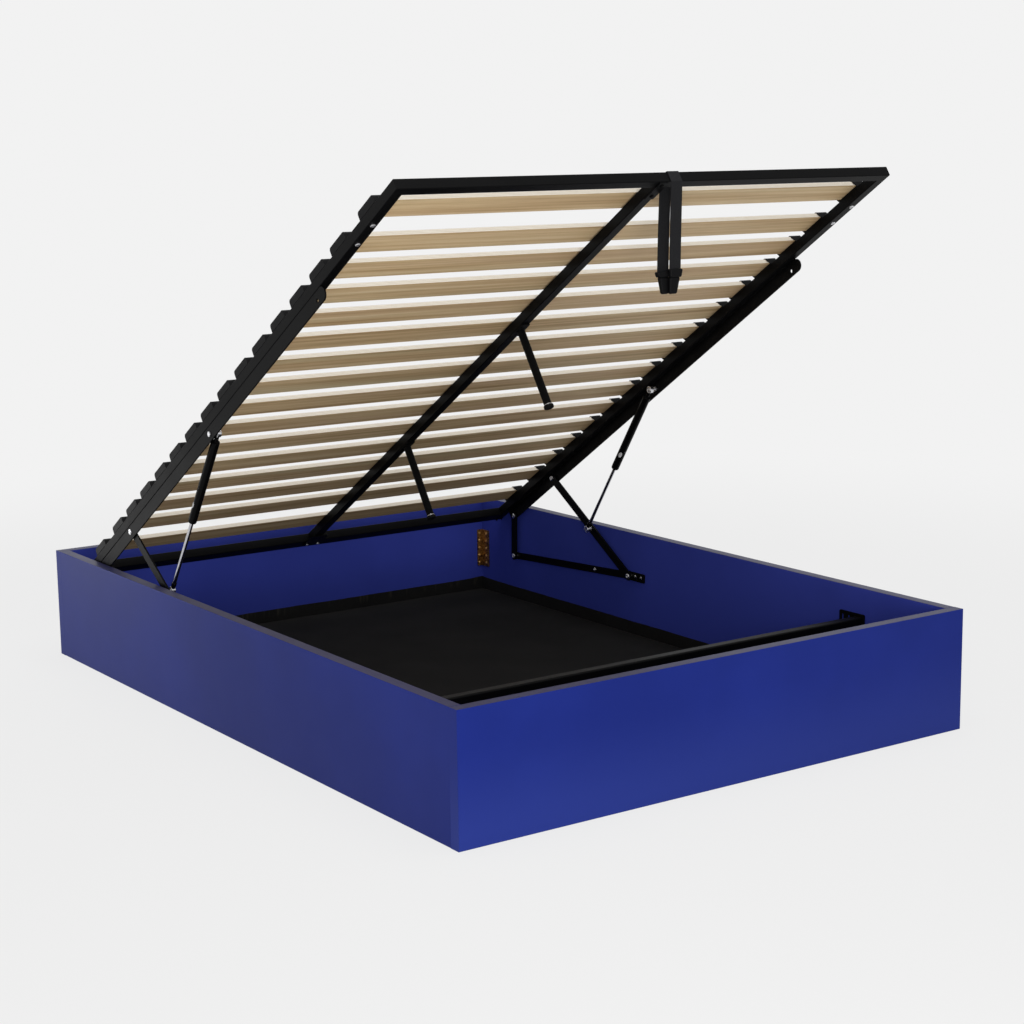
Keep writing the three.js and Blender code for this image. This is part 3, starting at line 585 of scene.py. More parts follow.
chrome = make_metal("chrome_rod", (0.56, 0.56, 0.59), (0.46, 0.46, 0.49), 0.15, 90.0)
brass = make_metal("aged_brass", (0.42, 0.25, 0.09), (0.09, 0.05, 0.025), 0.40, 150.0)
yellow_zinc = make_metal("yellow_zinc_plate", (0.85, 0.60, 0.26), (0.55, 0.30, 0.10), 0.30)
felt = make_felt()
webbing = make_webbing()
STEEL = "black_steel", black_coat


# Screws and bolts, each kind made once about Z with its seat at 0
def domed_head(name, radius, height):
    """A low round head that sinks a little below its seat."""
    return turned(name, [
        (radius, -0.0008), (radius, height * 0.35), (radius * 0.96, height * 0.62),
        (radius * 0.82, height * 0.86), (radius * 0.62, height),
    ])


def hex_bolt(name, radius, height, key):
    """A button head with a hexagon socket."""
    head = domed_head(name, radius, height)
    carve(head, turned("key", [(key, height * 0.35), (key, height + 0.002)], 6))
    return paint(head, zinc)


def cross_screw(name, radius, height, key):
    """A domed head with a cross recess."""
    head = domed_head(name, radius, height)
    for long, short in ((key, key * 0.28), (key * 0.28, key)):
        carve(head, block("key", (-long, -short, height * 0.45), (long, short, height + 0.002)))
    return paint(head, zinc)


pivot_bolt = hex_bolt("pivot_bolt_pattern", 0.008, 0.0036, 0.0036)
bar_screw = cross_screw("bar_screw_pattern", 0.006, 0.003, 0.0030)
corner_screw = cross_screw("corner_screw_pattern", 0.004, 0.0019, 0.0020)
slot_screw = cross_screw("slot_screw_pattern", 0.0038, 0.0019, 0.0020)
splice_bolt = hex_bolt("splice_bolt_pattern", 0.006, 0.003, 0.0028)
small_bolt = hex_bolt("small_bolt_pattern", 0.005, 0.0024, 0.0023)
paint(corner_screw, yellow_zinc)


def put(pattern, place, direction):
    """A copy of a screw or bolt, set at its place."""
    return aim(copy_of(pattern, "fastener"), place, direction)


# The box
def make_boards():
    """Boards with eased edges, duller on top, inside faces painted paler as painted light, the foot board
    paler near the floor as a painted floor reflection; the end boards lap over the sides.
    """
    outer_x = INNER_X + BOARD
    outer_y = INNER_Y + BOARD
    for name, node, inwards, low, high in (
        ("foot", "foot_panel", Y_AXIS, (-outer_x, -outer_y), (outer_x, -INNER_Y)),
        ("head", "head_panel", -Y_AXIS, (-outer_x, INNER_Y), (outer_x, outer_y)),
        ("left", "side_panel_left", X_AXIS, (-outer_x, -INNER_Y), (-INNER_X, INNER_Y)),
        ("right", "side_panel_right", -X_AXIS, (INNER_X, -INNER_Y), (outer_x, INNER_Y)),
    ):
        board = block(f"board_{name}", (*low, 0), (*high, BOARD_TOP))
        # Slot 1 takes the top faces, slot 2 the inside faces with their painted light; the foot board's
        # lacquer carries the painted floor reflection.
        for look in (foot_lacquer_painted_light if name == "foot" else lacquer, edge_lacquer, inside_lacquer_painted_light):
            board.data.materials.append(look)
        with bench(board) as pick:
            for index, direction in ((1, Z_AXIS), (2, inwards)):
                pick("FACE", facing(direction))
                finish_picked(board, index)
        if abs(inwards.x) > 0.5:
            round_off(board, 0.0016, Y_AXIS, segments=3)
        else:
            round_off(board, 0.0016, X_AXIS, segments=3)
            round_off(board, 0.0016, Z_AXIS, lambda middle: abs(middle.y) > INNER_Y + 0.01, 3)
        fit(board, "root", "lacquer", lacquer, node, edge=0.00025)


def make_corner_brackets():
    """Angle brackets in the four corners, five screws in each leg."""
    thick = 0.0025
    corner = Vector((INNER_X - 0.0003, INNER_Y - 0.0003))
    low, high = 0.0765, 0.1950
    plate = block("bracket", (corner.x - thick, corner.y - thick, low), (corner.x, corner.y, high))
    with bench(plate) as pick:
        pick("FACE", facing((-1, 0, 0)))
        pull(thick - 0.020, 0, 0)
        pick("FACE", lambda face: face.normal.y < -0.9 and face.calc_center_median().x > corner.x - thick)
        pull(0, thick - 0.040, 0)
        tidy_faces()
    round_off(plate, 0.004, X_AXIS, lambda middle: middle.y < corner.y - 0.030, 4)
    round_off(plate, 0.004, Y_AXIS, lambda middle: middle.x < corner.x - 0.015, 4)
    paint(plate, brass)
    screws = []
    for row in range(5):
        z = low + (high - low) * (row + 0.5) / 5
        screws.append(put(corner_screw, (corner.x - thick, INNER_Y - 0.026, z), (-1, 0, 0)))
        screws.append(put(corner_screw, (INNER_X - 0.0125, corner.y - thick, z), (0, -1, 0)))
    bracket = join("bracket_head_right", plate, *screws)
    for end, y in (("head", 1), ("foot", -1)):
        for side, x in (("left", -1), ("right", 1)):
            piece = flipped(bracket, f"bracket_on_{end}_{side}", (x, y, 1))
            fit(piece, "root", "brass", brass, f"corner_bracket_{end}_{side}", edge=0.0003)
    bpy.data.objects.remove(bracket)


def make_floor_cloth():
    """A cloth tray: a sheet on the floor with its border turned up against the boards."""
    half_x, half_y = INNER_X - 0.0018, INNER_Y - 0.0018
    upstand = 0.038

    def stations(half, count):
        flat = [half * (2 * index / count - 1) for index in range(count + 1)]
        rise = [upstand * step / 3 for step in (3, 2, 1)]
        return [-half - up for up in rise] + flat + [half + up for up in reversed(rise)]

    across, along = stations(half_x, 84), stations(half_y, 120)
    sheet = bmesh.new()
    grid = {}
    for row, v in enumerate(along):
        for column, u in enumerate(across):
            beyond_x, beyond_y = abs(u) - half_x, abs(v) - half_y
            if beyond_x > 1e-6 and beyond_y > 1e-6:
                continue
            x = max(-half_x, min(half_x, u))
            y = max(-half_y, min(half_y, v))
            up = max(beyond_x, beyond_y, 0)
            ripple = noise.noise(Vector((x * 7, y * 7, 0.3)))
            fold = noise.noise(Vector((x * 2.3, y * 2.3, 4.1)))
            if up > 1e-6:
                to_corner = half_y - abs(y) if beyond_x > 1e-6 else half_x - abs(x)
                bunch = math.exp(-(to_corner / 0.035) ** 2)
                crease = 0.5 + 0.5 * noise.noise(Vector((x * 38, y * 38, 9.0)))
                lean = (0.0034 * crease + 0.0060 * bunch) * up / upstand
                x -= math.copysign(lean * (1 if beyond_x > 1e-6 else bunch), u)
                y -= math.copysign(lean * (1 if beyond_y > 1e-6 else bunch), v)
                z = 0.0008 + up + (0.0016 * ripple + 0.0040 * bunch) * up / upstand
            else:
                z = 0.0008 + 0.0009 * max(0, ripple + fold)
            grid[row, column] = sheet.verts.new((x, y, z))
    for row in range(len(along) - 1):
        for column in range(len(across) - 1):
            keys = [(row, column), (row, column + 1), (row + 1, column + 1), (row + 1, column)]
            if all(key in grid for key in keys):
                sheet.faces.new([grid[key] for key in keys])
    bmesh.ops.recalc_face_normals(sheet, faces=sheet.faces)
    cloth = piece_from(sheet, "floor_cloth_tray")
    modify(cloth, "SOLIDIFY", thickness=0.0016, offset=0)
    fit(cloth, "root", "floor_cloth", felt, "floor_cloth", edge=0)


def cut_slot(plate, y, z, half_width, half_height):
    """Cuts an upright slot with round ends into a plate on a side board."""
    cutter = block("slot", (0.690, y - half_width, z - half_height),
                   (0.705, y + half_width, z + half_height))
    round_off(cutter, half_width * 0.998, X_AXIS, segments=5)
    carve(plate, cutter)


def make_foot_bar():
    """The bar that carries the closed lid, between two slotted plates on the side boards."""
    end, near, far, top = 0.6967, -0.721, -0.693, 0.2247
    bar = block("foot_rest_tube", (-end, near, top - TUBE), (end, far, top))
    round_off(bar, 0.0050, X_AXIS, segments=5)
    fit(bar, "root", *STEEL, "foot_rest_bar", edge=0)
    face, middle = 0.697, 0.2037
    plate = block("bar_plate_right", (face, -0.730, middle - 0.029),
                  (face + 0.0027, -0.640, middle + 0.029))
    round_off(plate, 0.005, X_AXIS, segments=5)
    screws = []
    for y in (-0.674, -0.652):
        cut_slot(plate, y, middle, 0.0035, 0.020)
        screws.append(put(bar_screw, (face, y, middle), (-1, 0, 0)))
    plate = join("bar_plate_right", paint(plate, black_coat), *screws)
    fit_pair(plate, "root", *STEEL, "foot_bar_plate_{}", edge=0.0004)


def make_base_bars():
    """Bars of the lift on the side boards, slotted at the foot end, round at the rear pivot."""
    foot, neck = FRONT_BASE.x - 0.062, FRONT_BASE.x + 0.016
    slope = (REAR_BASE.y - FRONT_BASE.y) / (REAR_BASE.x - FRONT_BASE.x)
    shoulder = neck + 0.008
    face = 0.696
    bar = block("base_plate_right", (face, foot, FRONT_BASE.y - 0.013),
                (face + 0.0037, neck, FRONT_BASE.y + 0.013))
    end = REAR_BASE.x + 0.0105
    with bench(bar) as pick:
        pick("FACE", facing((0, 1, 0)))
        before = neck, FRONT_BASE.y
        for y, ratio in ((shoulder, 21 / 26), (end, 1)):
            z = FRONT_BASE.y + (y - FRONT_BASE.x) * slope
            pull(0, y - before[0], z - before[1])
            bpy.ops.transform.resize(value=(1, 1, ratio), center_override=(0.698, y, z))
            before = y, z
    round_off(bar, 0.0104, X_AXIS, lambda middle: middle.y > end - 0.001, 8)
    round_off(bar, 0.003, X_AXIS, lambda middle: middle.y < foot + 0.001, 3)
    slots = foot + 0.014, foot + 0.040
    for y in slots:
        cut_slot(bar, y, FRONT_BASE.y, 0.003, 0.008)
    paint(bar, black_coat)
    run = 0.172
    screws = [put(bar_screw, (face, FRONT_BASE.x + run, FRONT_BASE.y + run * slope), (-1, 0, 0))]
    for y in slots:
        screws.append(put(slot_screw, (face, y, FRONT_BASE.y + 0.002), (-1, 0, 0)))
    bar = join("base_plate_right", bar, *screws)
    fit_pair(bar, "root", *STEEL, "base_bar_{}", edge=0.0005)
    for name, pivot in (("rear", REAR_BASE), ("front", FRONT_BASE)):
        spacer = aim(turned("spacer", [
            (0.0050, -0.0002), (0.0085, 0.0), (0.0085, 0.0054), (0.0050, 0.0056), (0.0050, 0.0112),
        ]), (0.6957, *pivot), (-1, 0, 0))
        paint(spacer, zinc)
        head = put(pivot_bolt, (HEAD_SEAT, *pivot), (-1, 0, 0))
        bolt = join(f"{name}_pivot_right", spacer, head)
        fit_pair(bolt, "root", "bolt", zinc, name + "_base_bolt_{}", edge=0.0003)


# The lift: links and gas struts
def make_links():
    """The links of the lift with their pins; the front one carries the stud of the strut's rod."""
    for name, base, end in (("rear", REAR_BASE, REAR_LID), ("front", FRONT_BASE, FRONT_LID)):
        run = end - base
        angle = math.atan2(run.y, run.x)
        half = 0.0125
        bar = block(f"{name}_bar_right", (LINK_NEAR, -half, -half), (LINK_FAR, run.length + half, half))
        round_off(bar, half * 0.998, X_AXIS, segments=12)
        paint(bar, black_coat)
        if name == "front":
            stud = turned("stud", [
                (0.0070, -0.0003), (0.0070, 0.0034), (0.0064, 0.0040),
                (0.0040, 0.0041), (0.0040, 0.0064),
            ])
            aim(paint(stud, zinc), (LINK_NEAR, 0.211, 0), (-1, 0, 0))
            bar = join("front_bar_right", bar, stud)
        move(bar, (0, *base), angle)
        fit_pair(bar, name + "_link_{}", *STEEL, name + "_link_{}", edge=0.0005)
        shank = aim(turned("shank", [(0.005, 0), (0.005, 0.0054)]), (LINK_FAR, *end), (-1, 0, 0))
        head = put(pivot_bolt, (HEAD_SEAT, *end), (-1, 0, 0))
        bolt = join(f"{name}_link_pin_right", paint(shank, zinc), head)
        fit_pair(bolt, name + "_link_{}", "bolt", zinc, name + "_link_bolt_{}", edge=0.0003)


def eye(place, bore):
    """A ring about X for the end of a strut, with a lip on each face."""
    radius, half, lip = 0.0100, 0.006, 0.0012
    ring = turned("eye", [
        (radius - lip, -half), (radius, lip - half), (radius, half - lip), (radius - lip, half),
    ], 32)
    carve(ring, turned("bore", [(bore, -half - 0.002), (bore, half + 0.002)]))
    return paint(aim(ring, place, X_AXIS), zinc)


def make_struts():
    """Gas struts: black cylinder with a plain white disc, chrome rod, a socket at each end."""
    run = STRUT_FOOT - STRUT_TOP
    length = run.length
    direction = Vector((0, run.x, run.y)).normalized()
    top = Vector((STRUT_X, *STRUT_TOP))
    start, end, disc_at = 0.026, 0.294, 0.236
    body = aim(turned("cylinder", [
        (0.0056, 0.0085), (0.0056, start - 0.001), (0.0082, start), (0.0106, start + 0.0012),
        (0.0111, start + 0.003), (0.0111, end - 0.007), (0.0106, end - 0.0055),
        (0.0111, end - 0.0040), (0.0104, end - 0.0012), (0.0082, end), (0.0060, end + 0.0001),
        (0.0060, end - 0.0040),
    ], 32), top, direction)
    cylinder = join("strut_tube_right", paint(body, gloss_black), eye(top, 0.0065))
    fit_pair(cylinder, "strut_cylinder_{}", "black_steel", gloss_black, "strut_cylinder_{}",
             edge=0.0002)
    rod = aim(turned("rod", [(0.0048, end - 0.05), (0.0048, length - 0.026)]), top, direction)
    neck = aim(turned("neck", [
        (0.0060, length - 0.0262), (0.0066, length - 0.0250), (0.0066, length - 0.0165),
        (0.0056, length - 0.0155), (0.0056, length - 0.0080),
    ]), top, direction)
    piston = join("strut_piston_right", paint(rod, chrome), paint(neck, gloss_black),
                  eye((STRUT_X, *STRUT_FOOT), 0.0045))
    fit_pair(piston, "strut_rod_{}", "rod", chrome, "strut_rod_{}", edge=0.0002)
    for side, x in (("right", STRUT_X), ("left", -STRUT_X)):
        disc = round_disc(f"strut_disc_{side}", 0.0088)
        centre = Vector((x, *STRUT_TOP)) + direction * disc_at
        outwards = Vector((-0.80, -0.50, -0.33)) if side == "right" else Vector((-1, 0.15, 0.1))
        aim(disc, centre + outwards.normalized() * 0.02, outwards)
        tube = bpy.data.objects[f"strut_tube_{side}"]
        modify(disc, "SHRINKWRAP", target=tube, wrap_method="NEAREST_SURFACEPOINT", offset=0.00015)
        modify(disc, "SOLIDIFY", thickness=0.0004, offset=1)
        fit(disc, f"strut_cylinder_{side}", "rod", disc_plastic, edge=0)


def round_disc(name, radius):
    """A thin disc with rings of faces, ready to be pressed onto a curved tube."""
    bpy.ops.object.select_all(action="DESELECT")
    bpy.ops.mesh.primitive_circle_add(vertices=36, radius=radius, fill_type="NGON")
    disc = named(name)
    with bench(disc):
        bpy.ops.mesh.select_all(action="SELECT")
        for _ in range(6):
            bpy.ops.mesh.inset(thickness=radius / 7)
    return disc


def make_studs():
    """The ball studs in the lift arms that carry the top ends of the struts."""
    stud = turned("strut_ball_right", [
        (0.0046, -0.0031), (0.0068, -0.0024), (0.0070, -0.0014), (0.0070, -0.0002),
        (0.0040, 0.0), (0.0040, 0.0042), (0.0070, 0.0044), (0.0070, 0.0078), (0.0064, 0.0083),
        (0.0034, 0.0085), (0.0034, 0.0185), (0.0047, 0.0197), (0.0057, 0.0215), (0.0060, 0.0230),
        (0.0057, 0.0247), (0.0047, 0.0266), (0.0026, 0.0284),
    ])
    aim(paint(stud, zinc), (0.6952, *STRUT_TOP), (-1, 0, 0))
    fit_pair(stud, "lid", "bolt", zinc, "strut_stud_{}", edge=0)


# The lid, made on its own axes and then set open
def tube_bar(name, low, high, axis):
    """A square steel tube with rolled corners."""
    bar = block(name, low, high)
    round_off(bar, 0.0018, axis, segments=4)
    return bar


def plug_end(rail):
    """Shows a rail's wall and the plastic plug in its head end."""
    rail.data.materials.append(cap_plastic)
    with bench(rail) as pick:
        pick("FACE", facing(Y_AXIS))
        for border, run in ((0.0018, -0.0012), (0.0014, 0.0022)):
            bpy.ops.mesh.inset(thickness=border)
            pull(0, run, 0)
            finish_picked(rail, 1)


def tie_plate(half, foot, head, corner=0):
    """A flat plate across the underside of the beam, on the lid's own axes."""
    plate = block("plate", (-half, foot, TIE_LOW), (half, head, TIE_LOW + 0.003))
    if corner:
        round_off(plate, corner, Z_AXIS, segments=4)
    return paint(plate, black_coat)


def mitre(piece, corner, normal):
    """Cuts a piece off along an upright plane through a corner."""
    with bench(piece):
        bpy.ops.mesh.select_all(action="SELECT")
        bpy.ops.mesh.bisect(plane_co=corner, plane_no=normal, use_fill=True, clear_outer=True)
        tidy_faces()


def make_rails():
    """Side rails, and the foot arms that the foot tube's mitred ends meet."""
    rail = tube_bar("rail_right", (RAIL_IN, SPLICE + 0.0002, -TUBE), (RAIL_OUT, 0, 0), Y_AXIS)
    plug_end(paint(rail, black_coat))
    onto_lid(rail)
    fit_pair(rail, "lid", *STEEL, "side_rail_{}", edge=0.0003)
    foot = -LID_LENGTH
    corner = (RAIL_OUT - 0.00012, foot - 0.00012, 0)
    arm = tube_bar("arm_right", (RAIL_IN, foot, -TUBE), (RAIL_OUT, SPLICE - 0.0002, 0), Y_AXIS)
    mitre(arm, corner, (-1, -1, 0))
    paint(arm, black_coat)
    x = (RAIL_IN + RAIL_OUT) / 2
    bolts = [put(splice_bolt, (x, SPLICE + shift, -TUBE), (0, 0, -1)) for shift in (-0.038, 0.038)]
    arm = onto_lid(join("arm_right", arm, *bolts))
    fit_pair(arm, "lid", *STEEL, "foot_arm_{}", edge=0.0003)


def make_cross_tubes():
    """Foot tube, head tube and centre beam, with the plates that tie the beam to them."""
    foot = -LID_LENGTH
    tube = tube_bar("foot_cross_tube", (-RAIL_OUT, foot, -TUBE), (RAIL_OUT, foot + TUBE, 0), X_AXIS)
    for side in (-1, 1):
        mitre(tube, (side * RAIL_OUT, foot, 0), (side, 1, 0))
    paint(tube, black_coat)
    plate = tie_plate(0.0122, foot + 0.002, foot + 0.068)
    bolts = [put(small_bolt, (x, foot + 0.009, 0), (0, 0, 1)) for x in (-0.266, -0.214, 0.679)]
    bolts += [put(small_bolt, (0, foot + y, TIE_LOW), (0, 0, -1)) for y in (0.013, 0.056)]
    for bolt in bolts:
        paint(bolt, black_coat)
    tube = onto_lid(join("foot_cross_tube", tube, plate, *bolts))
    fit(tube, "lid", *STEEL, "foot_tube", edge=0.0003)
    tube = paint(tube_bar("head_cross_tube", (-0.6707, -HEAD_TUBE, -TUBE), (0.6707, 0, 0), X_AXIS),
                 black_coat)
    plate = tie_plate(0.029, -HEAD_TUBE - 0.036, -0.010, 0.005)
    bolts = [put(small_bolt, (x, -0.020, TIE_LOW), (0, 0, -1)) for x in (-0.018, 0.018)]
    tube = onto_lid(join("head_cross_tube", tube, plate, *bolts))
    fit(tube, "lid", *STEEL, "head_tube", edge=0.0003)
    beam = tube_bar("middle_beam", (-TUBE / 2, foot + TUBE + 0.0003, -TUBE),
                    (TUBE / 2, -HEAD_TUBE - 0.0003, 0), Y_AXIS)
    fit(onto_lid(beam), "lid", *STEEL, "centre_beam", edge=0.0003)


def make_lift_arms():
    """Deep plates under the rails that the links and struts are pinned to."""
    top, bottom = -TUBE - 0.0003, -TUBE - 0.0333
    foot, rear = -LID_LENGTH + 0.378, -0.055
    arm = block("lift_plate_right", (0.691, foot, bottom), (0.695, rear, top))
    round_off(arm, 0.0164, X_AXIS, lambda middle: middle.y < foot + 0.001, 12)
    round_off(arm, 0.006, X_AXIS, lambda m: m.y > rear - 0.001 and m.z < bottom + 0.001, 1)
    hole = turned("hole", [(0.0045, -0.01), (0.0045, 0.01)])
    carve(arm, aim(hole, (0.693, foot + 0.040, (top + bottom) / 2 - 0.003), (1, 0, 0)))
    paint(arm, black_coat)
    heads = []
    for y, z in ((-0.080, -0.050), (-0.331, -0.039)):
        head = domed_head("outer_head", 0.008, 0.0028)
        heads.append(aim(paint(head, zinc), (0.695, y, z), (1, 0, 0)))
    arm = onto_lid(join("lift_plate_right", arm, *heads))
    fit_pair(arm, "lid", *STEEL, "lift_arm_{}", edge=0.0005)


def slat_places():
    """Where the slats' middles lie along the lid, from the foot."""
    foot = -LID_LENGTH
    pitch = (LID_LENGTH - 2 * 0.269) / 13
    return [foot + 0.124] + [foot + 0.269 + index * pitch for index in range(14)] + [-0.124]


def make_slats():
    """Birch slats with eased edges, each held in a hooded plastic cap at both ends."""
    end, half = 0.6897, 0.034
    slat = block("slat", (-end, -half, 0.004), (end, half, 0.016))
    slat.data.materials.append(birch_face)
    slat.data.materials.append(birch_edge)
    with bench(slat) as pick:
        pick("FACE", lambda face: abs(face.normal.z) < 0.5)
        finish_picked(slat, 1)
    round_off(slat, 0.0024, X_AXIS, segments=4)
    mouth = RAIL_OUT - 0.033
    cap = block("cap", (mouth, -0.037, 0), (RAIL_OUT, 0.037, 0.019))
    round_off(cap, 0.007, X_AXIS, lambda middle: middle.z > 0.018, 5)
    round_off(cap, 0.004, Y_AXIS, lambda m: m.z > 0.018 and m.x > RAIL_OUT - 0.001, 3)
    with bench(cap) as pick:
        pick("FACE", lambda face: face.normal.x < -0.9)
        bpy.ops.mesh.inset(thickness=0.0027)
        pull(0.027, 0, 0)
        pick("VERT", lambda vert: vert.co.x < mouth + 0.001 and vert.co.z < 0.004)
        bpy.ops.transform.translate(value=(0.009, 0, 0))
        pick("FACE", lambda face: face.normal.z > 0.9 and face.calc_center_median().z > 0.018)
        bpy.ops.mesh.inset(thickness=0.006)
        pull(0, 0, -0.0008)
    paint(cap, cap_plastic)
    for index, y in enumerate(slat_places()):
        number = f"{index + 1:02d}"
        piece = copy_of(slat, f"birch_slat_{number}")
        onto_lid(move(piece, (0, y, 0)))
        fit(piece, "lid", "birch", birch_face, f"slat_{number}", edge=0)
        carrier = "foot_arm_{}" if y < SPLICE else "side_rail_{}"
        piece = onto_lid(move(copy_of(cap, f"slat_cap_right_{number}"), (0, y, 0)))
        fit_pair(piece, "lid", "black_steel", cap_plastic, carrier, edge=0.0005)
    bpy.data.objects.remove(slat)
    bpy.data.objects.remove(cap)


def make_legs():
    """Centre legs under the beam, each with a screwed foot and a thin ring above it."""
    end = -0.2445
    for name, y in (("foot", -1.319), ("head", -0.671)):
        plate = tie_plate(0.012, y - 0.030, y + 0.030, 0.004)
        tube = turned("tube", [(0.0100, end + 0.0105), (0.0100, -0.0270)], 28)
        weld = turned("weld", [(0.0122, -0.0285), (0.0116, -0.0297), (0.0102, -0.0306)], 28)
        foot = turned("foot", [
            (0.0104, end), (0.0120, end + 0.0006), (0.0126, end + 0.0020), (0.0126, end + 0.0066),
            (0.0120, end + 0.0082), (0.0104, end + 0.0088),
        ], 28)
        ring = turned("ring", [
            (0.0102, end + 0.0086), (0.0108, end + 0.0090), (0.0108, end + 0.0100),
            (0.0102, end + 0.0106),
        ], 28)
        for round_part in (tube, weld, foot, ring):
            move(round_part, (0, y, 0))
        leg = join(f"middle_leg_{name}", paint(tube, black_coat), plate,
                   paint(weld, black_coat), paint(foot, foot_rubber), paint(ring, zinc))
        fit(onto_lid(leg), "lid", *STEEL, f"centre_leg_{name}", edge=0.0003)


def strap_line():
    """The lid's foot corner and, from it, the strap's line in Y and Z: up behind the tube and over."""
    cosine, sine = math.cos(-LID_TURN), math.sin(-LID_TURN)
    corner = LID_PLACE + Vector((0, -LID_LENGTH * cosine, LID_LENGTH * sine))

    def on_tube(run, rise):
        return Vector((run * cosine + rise * sine, -run * sine + rise * cosine))

    lift = 0.0019
    middle = (on_tube(0, -TUBE).x + on_tube(TUBE, 0).x) / 2
    grip_top = -0.222
    points = []

    def arc(centre, start, stop):
        for step in range(7):
            angle = math.radians(start + (stop - start) * step / 6)
            points.append(centre + Vector((math.cos(angle), math.sin(angle))) * lift)

    head = on_tube(TUBE - 0.001, -0.001)
    foot_top = on_tube(0.001, -0.001)
    foot_low = on_tube(0.001, -TUBE + 0.001)
    rear_end = Vector((middle + 0.0085, grip_top))
    front_end = Vector((middle - 0.0085, grip_top))
    rear_lean = math.degrees(math.atan2(head.x - rear_end.x, head.y - rear_end.y))
    front_lean = math.degrees(math.atan2(front_end.x - foot_low.x, foot_low.y - front_end.y))
    points.append(rear_end)
    arc(head, -rear_lean, 57)
    arc(foot_top, 57, 147)
    arc(foot_low, 147, 180 + front_lean)
    points.append(front_end)
    return corner, points


def make_strap():
    """The pull strap: one length of webbing over the foot tube, its ends sewn into a grip."""
    corner, line = strap_line()
    fine = []
    for before, after in zip(line, line[1:]):
        steps = max(1, round((after - before).length / 0.012))
        fine += [before.lerp(after, step / steps) for step in range(steps)]
    fine.append(line[-1])
    total = sum((b - a).length for a, b in zip(fine, fine[1:]))
    mesh = bmesh.new()
    uv = mesh.loops.layers.uv.new("strap")
    rows = []
    run = 0.0
    for index, point in enumerate(fine):
        if index:
            run += (point - fine[index - 1]).length
        part = run / total
        drift = (part - 0.5) * 2
        shift = -0.0170 * abs(drift) ** 0.9 if drift < 0 else 0.0045 * drift
        sway = 0.00048 * math.sin(part * 9.0)
        row = []
        for step in range(5):
            across = STRAP_HALF * (step / 2 - 1)
            x = STRAP_X + shift + across
            y = corner.y + point.x + sway + 0.0007 * (1 - (across / STRAP_HALF) ** 2)
            row.append((mesh.verts.new((x, y, corner.z + point.y)), (across + STRAP_HALF, run)))
        rows.append(row)
    for before, after in zip(rows, rows[1:]):
        for step in range(4):
            corners = [before[step], before[step + 1], after[step + 1], after[step]]
            face = mesh.faces.new([vert for vert, _ in corners])
            for loop, (_, place) in zip(face.loops, corners):
                loop[uv].uv = place
    strap = piece_from(mesh, "pull_strap_webbing")
    modify(strap, "SOLIDIFY", thickness=0.0021, offset=0)
    ease(strap, 0.0005, 2, 50)
    with bench(strap):
        tidy_faces()
    fit(strap, "lid", "webbing", webbing, "pull_strap", edge=0)
    make_grip(corner, line)


def make_grip(corner, line):
    """The grip: a collar round each strap end, above two tongues that narrow downwards."""
    middle = corner.y + (line[0].x + line[-1].x) / 2
    top = corner.z + line[0].y + 0.001
    x = STRAP_X - 0.00775
    parts = []
    for wide, narrow, near, rise in (
        ((-0.0330, 0.0070), (-0.0255, 0.0010), middle - 0.0040, 0.0),
        ((-0.0040, 0.0330), (-0.0040, 0.0255), middle - 0.0140, 0.006),
    ):
        far = near + 0.0160
        collar = block("collar", (x + wide[0], near, top - 0.0130), (x + wide[1], far, top + rise))
        tongue = block("tongue", (x + narrow[0], near + 0.0012, top - 0.0500),
                       (x + narrow[1], far - 0.0012, top - 0.0120))
        for part, ratio, z in ((collar, (0.88, 0.96, 1), -0.013), (tongue, (0.72, 0.80, 1), -0.050)):
            with bench(part) as pick:
                pick("FACE", facing((0, 0, -1)))
                bpy.ops.transform.resize(value=ratio, center_override=(x, middle, top + z))
        parts += [collar, tongue]
    for part in parts:
        ease(part, 0.0042, 4, 40)
        paint(part, cap_plastic)
    grip = join("pull_strap_grip", *parts)
    fit(grip, "lid", "webbing", cap_plastic, "pull_strap", edge=0)


# Studio: pale floor, soft light and the camera
PAPER = (0.887, 0.887, 0.887, 1)


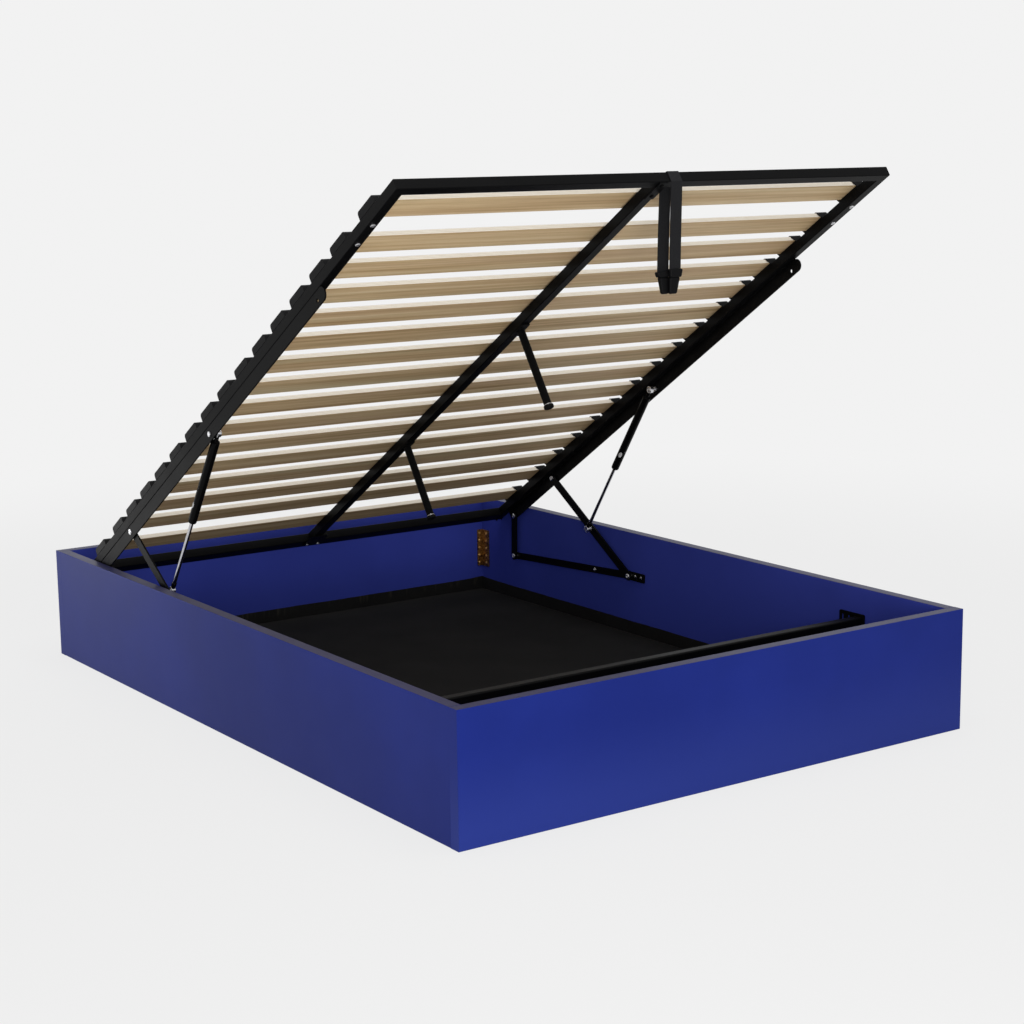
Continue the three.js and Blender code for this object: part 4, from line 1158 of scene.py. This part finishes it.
def make_floor():
    """A floor that keeps the shadow and fades into the background with distance."""
    bpy.ops.object.select_all(action="DESELECT")
    bpy.ops.mesh.primitive_plane_add(size=160, location=(0, 0, -0.0005))
    floor = named("studio_floor")
    settle(floor)
    look = Finish("studio_floor_paint", Specular_IOR_Level=0.05)
    where = look.place()
    speck = look.grain(where, 3.0, 2)
    paint(floor, look.feed(
        Base_Color=look.mix(speck, (0.732, 0.732, 0.732), (0.748, 0.748, 0.748)),
        Roughness=0.86 + speck * 0.04,
    ))
    away = look.step(look.node("VectorMath", {"operation": "LENGTH"}, {0: where}, "Value"), 1.7, 4.2)
    pale = look.node("Emission", {}, {"Color": PAPER, "Strength": 1.0})
    surface = look.node("MixShader", {}, {
        0: look.seen() * (away * 0.13 + 0.87), 1: Wire(look, look.shader.outputs[0]), 2: pale})
    look.tree.links.new(surface.socket, look.tree.nodes["Material Output"].inputs["Surface"])
    look.material.cycles.emission_sampling = "NONE"


def make_world():
    """Even pale light; what the camera and mirrors see of it is the photograph's background."""
    sky = Surround("studio")
    light = sky.node("Background", {}, {"Color": (1, 1, 1, 1), "Strength": 0.35})
    paper = sky.node("Background", {}, {"Color": PAPER, "Strength": 1.0})
    mixed = sky.node("MixShader", {}, {0: sky.seen(), 1: light, 2: paper})
    output = sky.tree.nodes.new("ShaderNodeOutputWorld")
    sky.tree.links.new(mixed.socket, output.inputs[0])


def make_lamp(name, place, target, size, power, spread=180):
    """A round softbox, left out of the picture itself."""
    data = bpy.data.lights.new(name, "AREA")
    data.shape = "DISK"
    data.size = size
    data.energy = power
    data.spread = math.radians(spread)
    lamp = set_out(name, data)
    lamp.location = place
    lamp.visible_camera = False
    lamp.rotation_euler = (Vector(target) - Vector(place)).to_track_quat("-Z", "Y").to_euler()


def make_camera():
    """The camera, as solved on the corners of the box."""
    data = bpy.data.cameras.new("camera")
    data.lens = 71.65
    data.sensor_width = 36
    camera = set_out("camera", data)
    camera.location = (-2.8850801, -4.3449879, 1.4256665)
    camera.rotation_euler = [math.radians(a) for a in (79.63512649, 0.70471797, -34.84186691)]
    bpy.context.scene.camera = camera


make_camera()
make_boards()
make_corner_brackets()
make_floor_cloth()
make_foot_bar()
make_base_bars()
make_links()
make_struts()
make_studs()
make_rails()
make_cross_tubes()
make_lift_arms()
make_slats()
make_legs()
make_strap()
for pattern in (pivot_bolt, bar_screw, corner_screw, slot_screw, splice_bolt, small_bolt):
    bpy.data.objects.remove(pattern)
make_floor()
make_world()
make_lamp("front_light", (-1.7, -3.4, 0.7), (-0.2, -0.6, 0.30), 1.6, 45)
make_lamp("side_light", (-1.9, 2.6, 0.2), (-0.73, 0.75, 0.12), 0.6, 0.36, 24)
make_lamp("ceiling_light", (0, -1.0, 6.5), (0, 0, 0), 6.0, 200)
bpy.context.scene.view_settings.view_transform = "Standard"
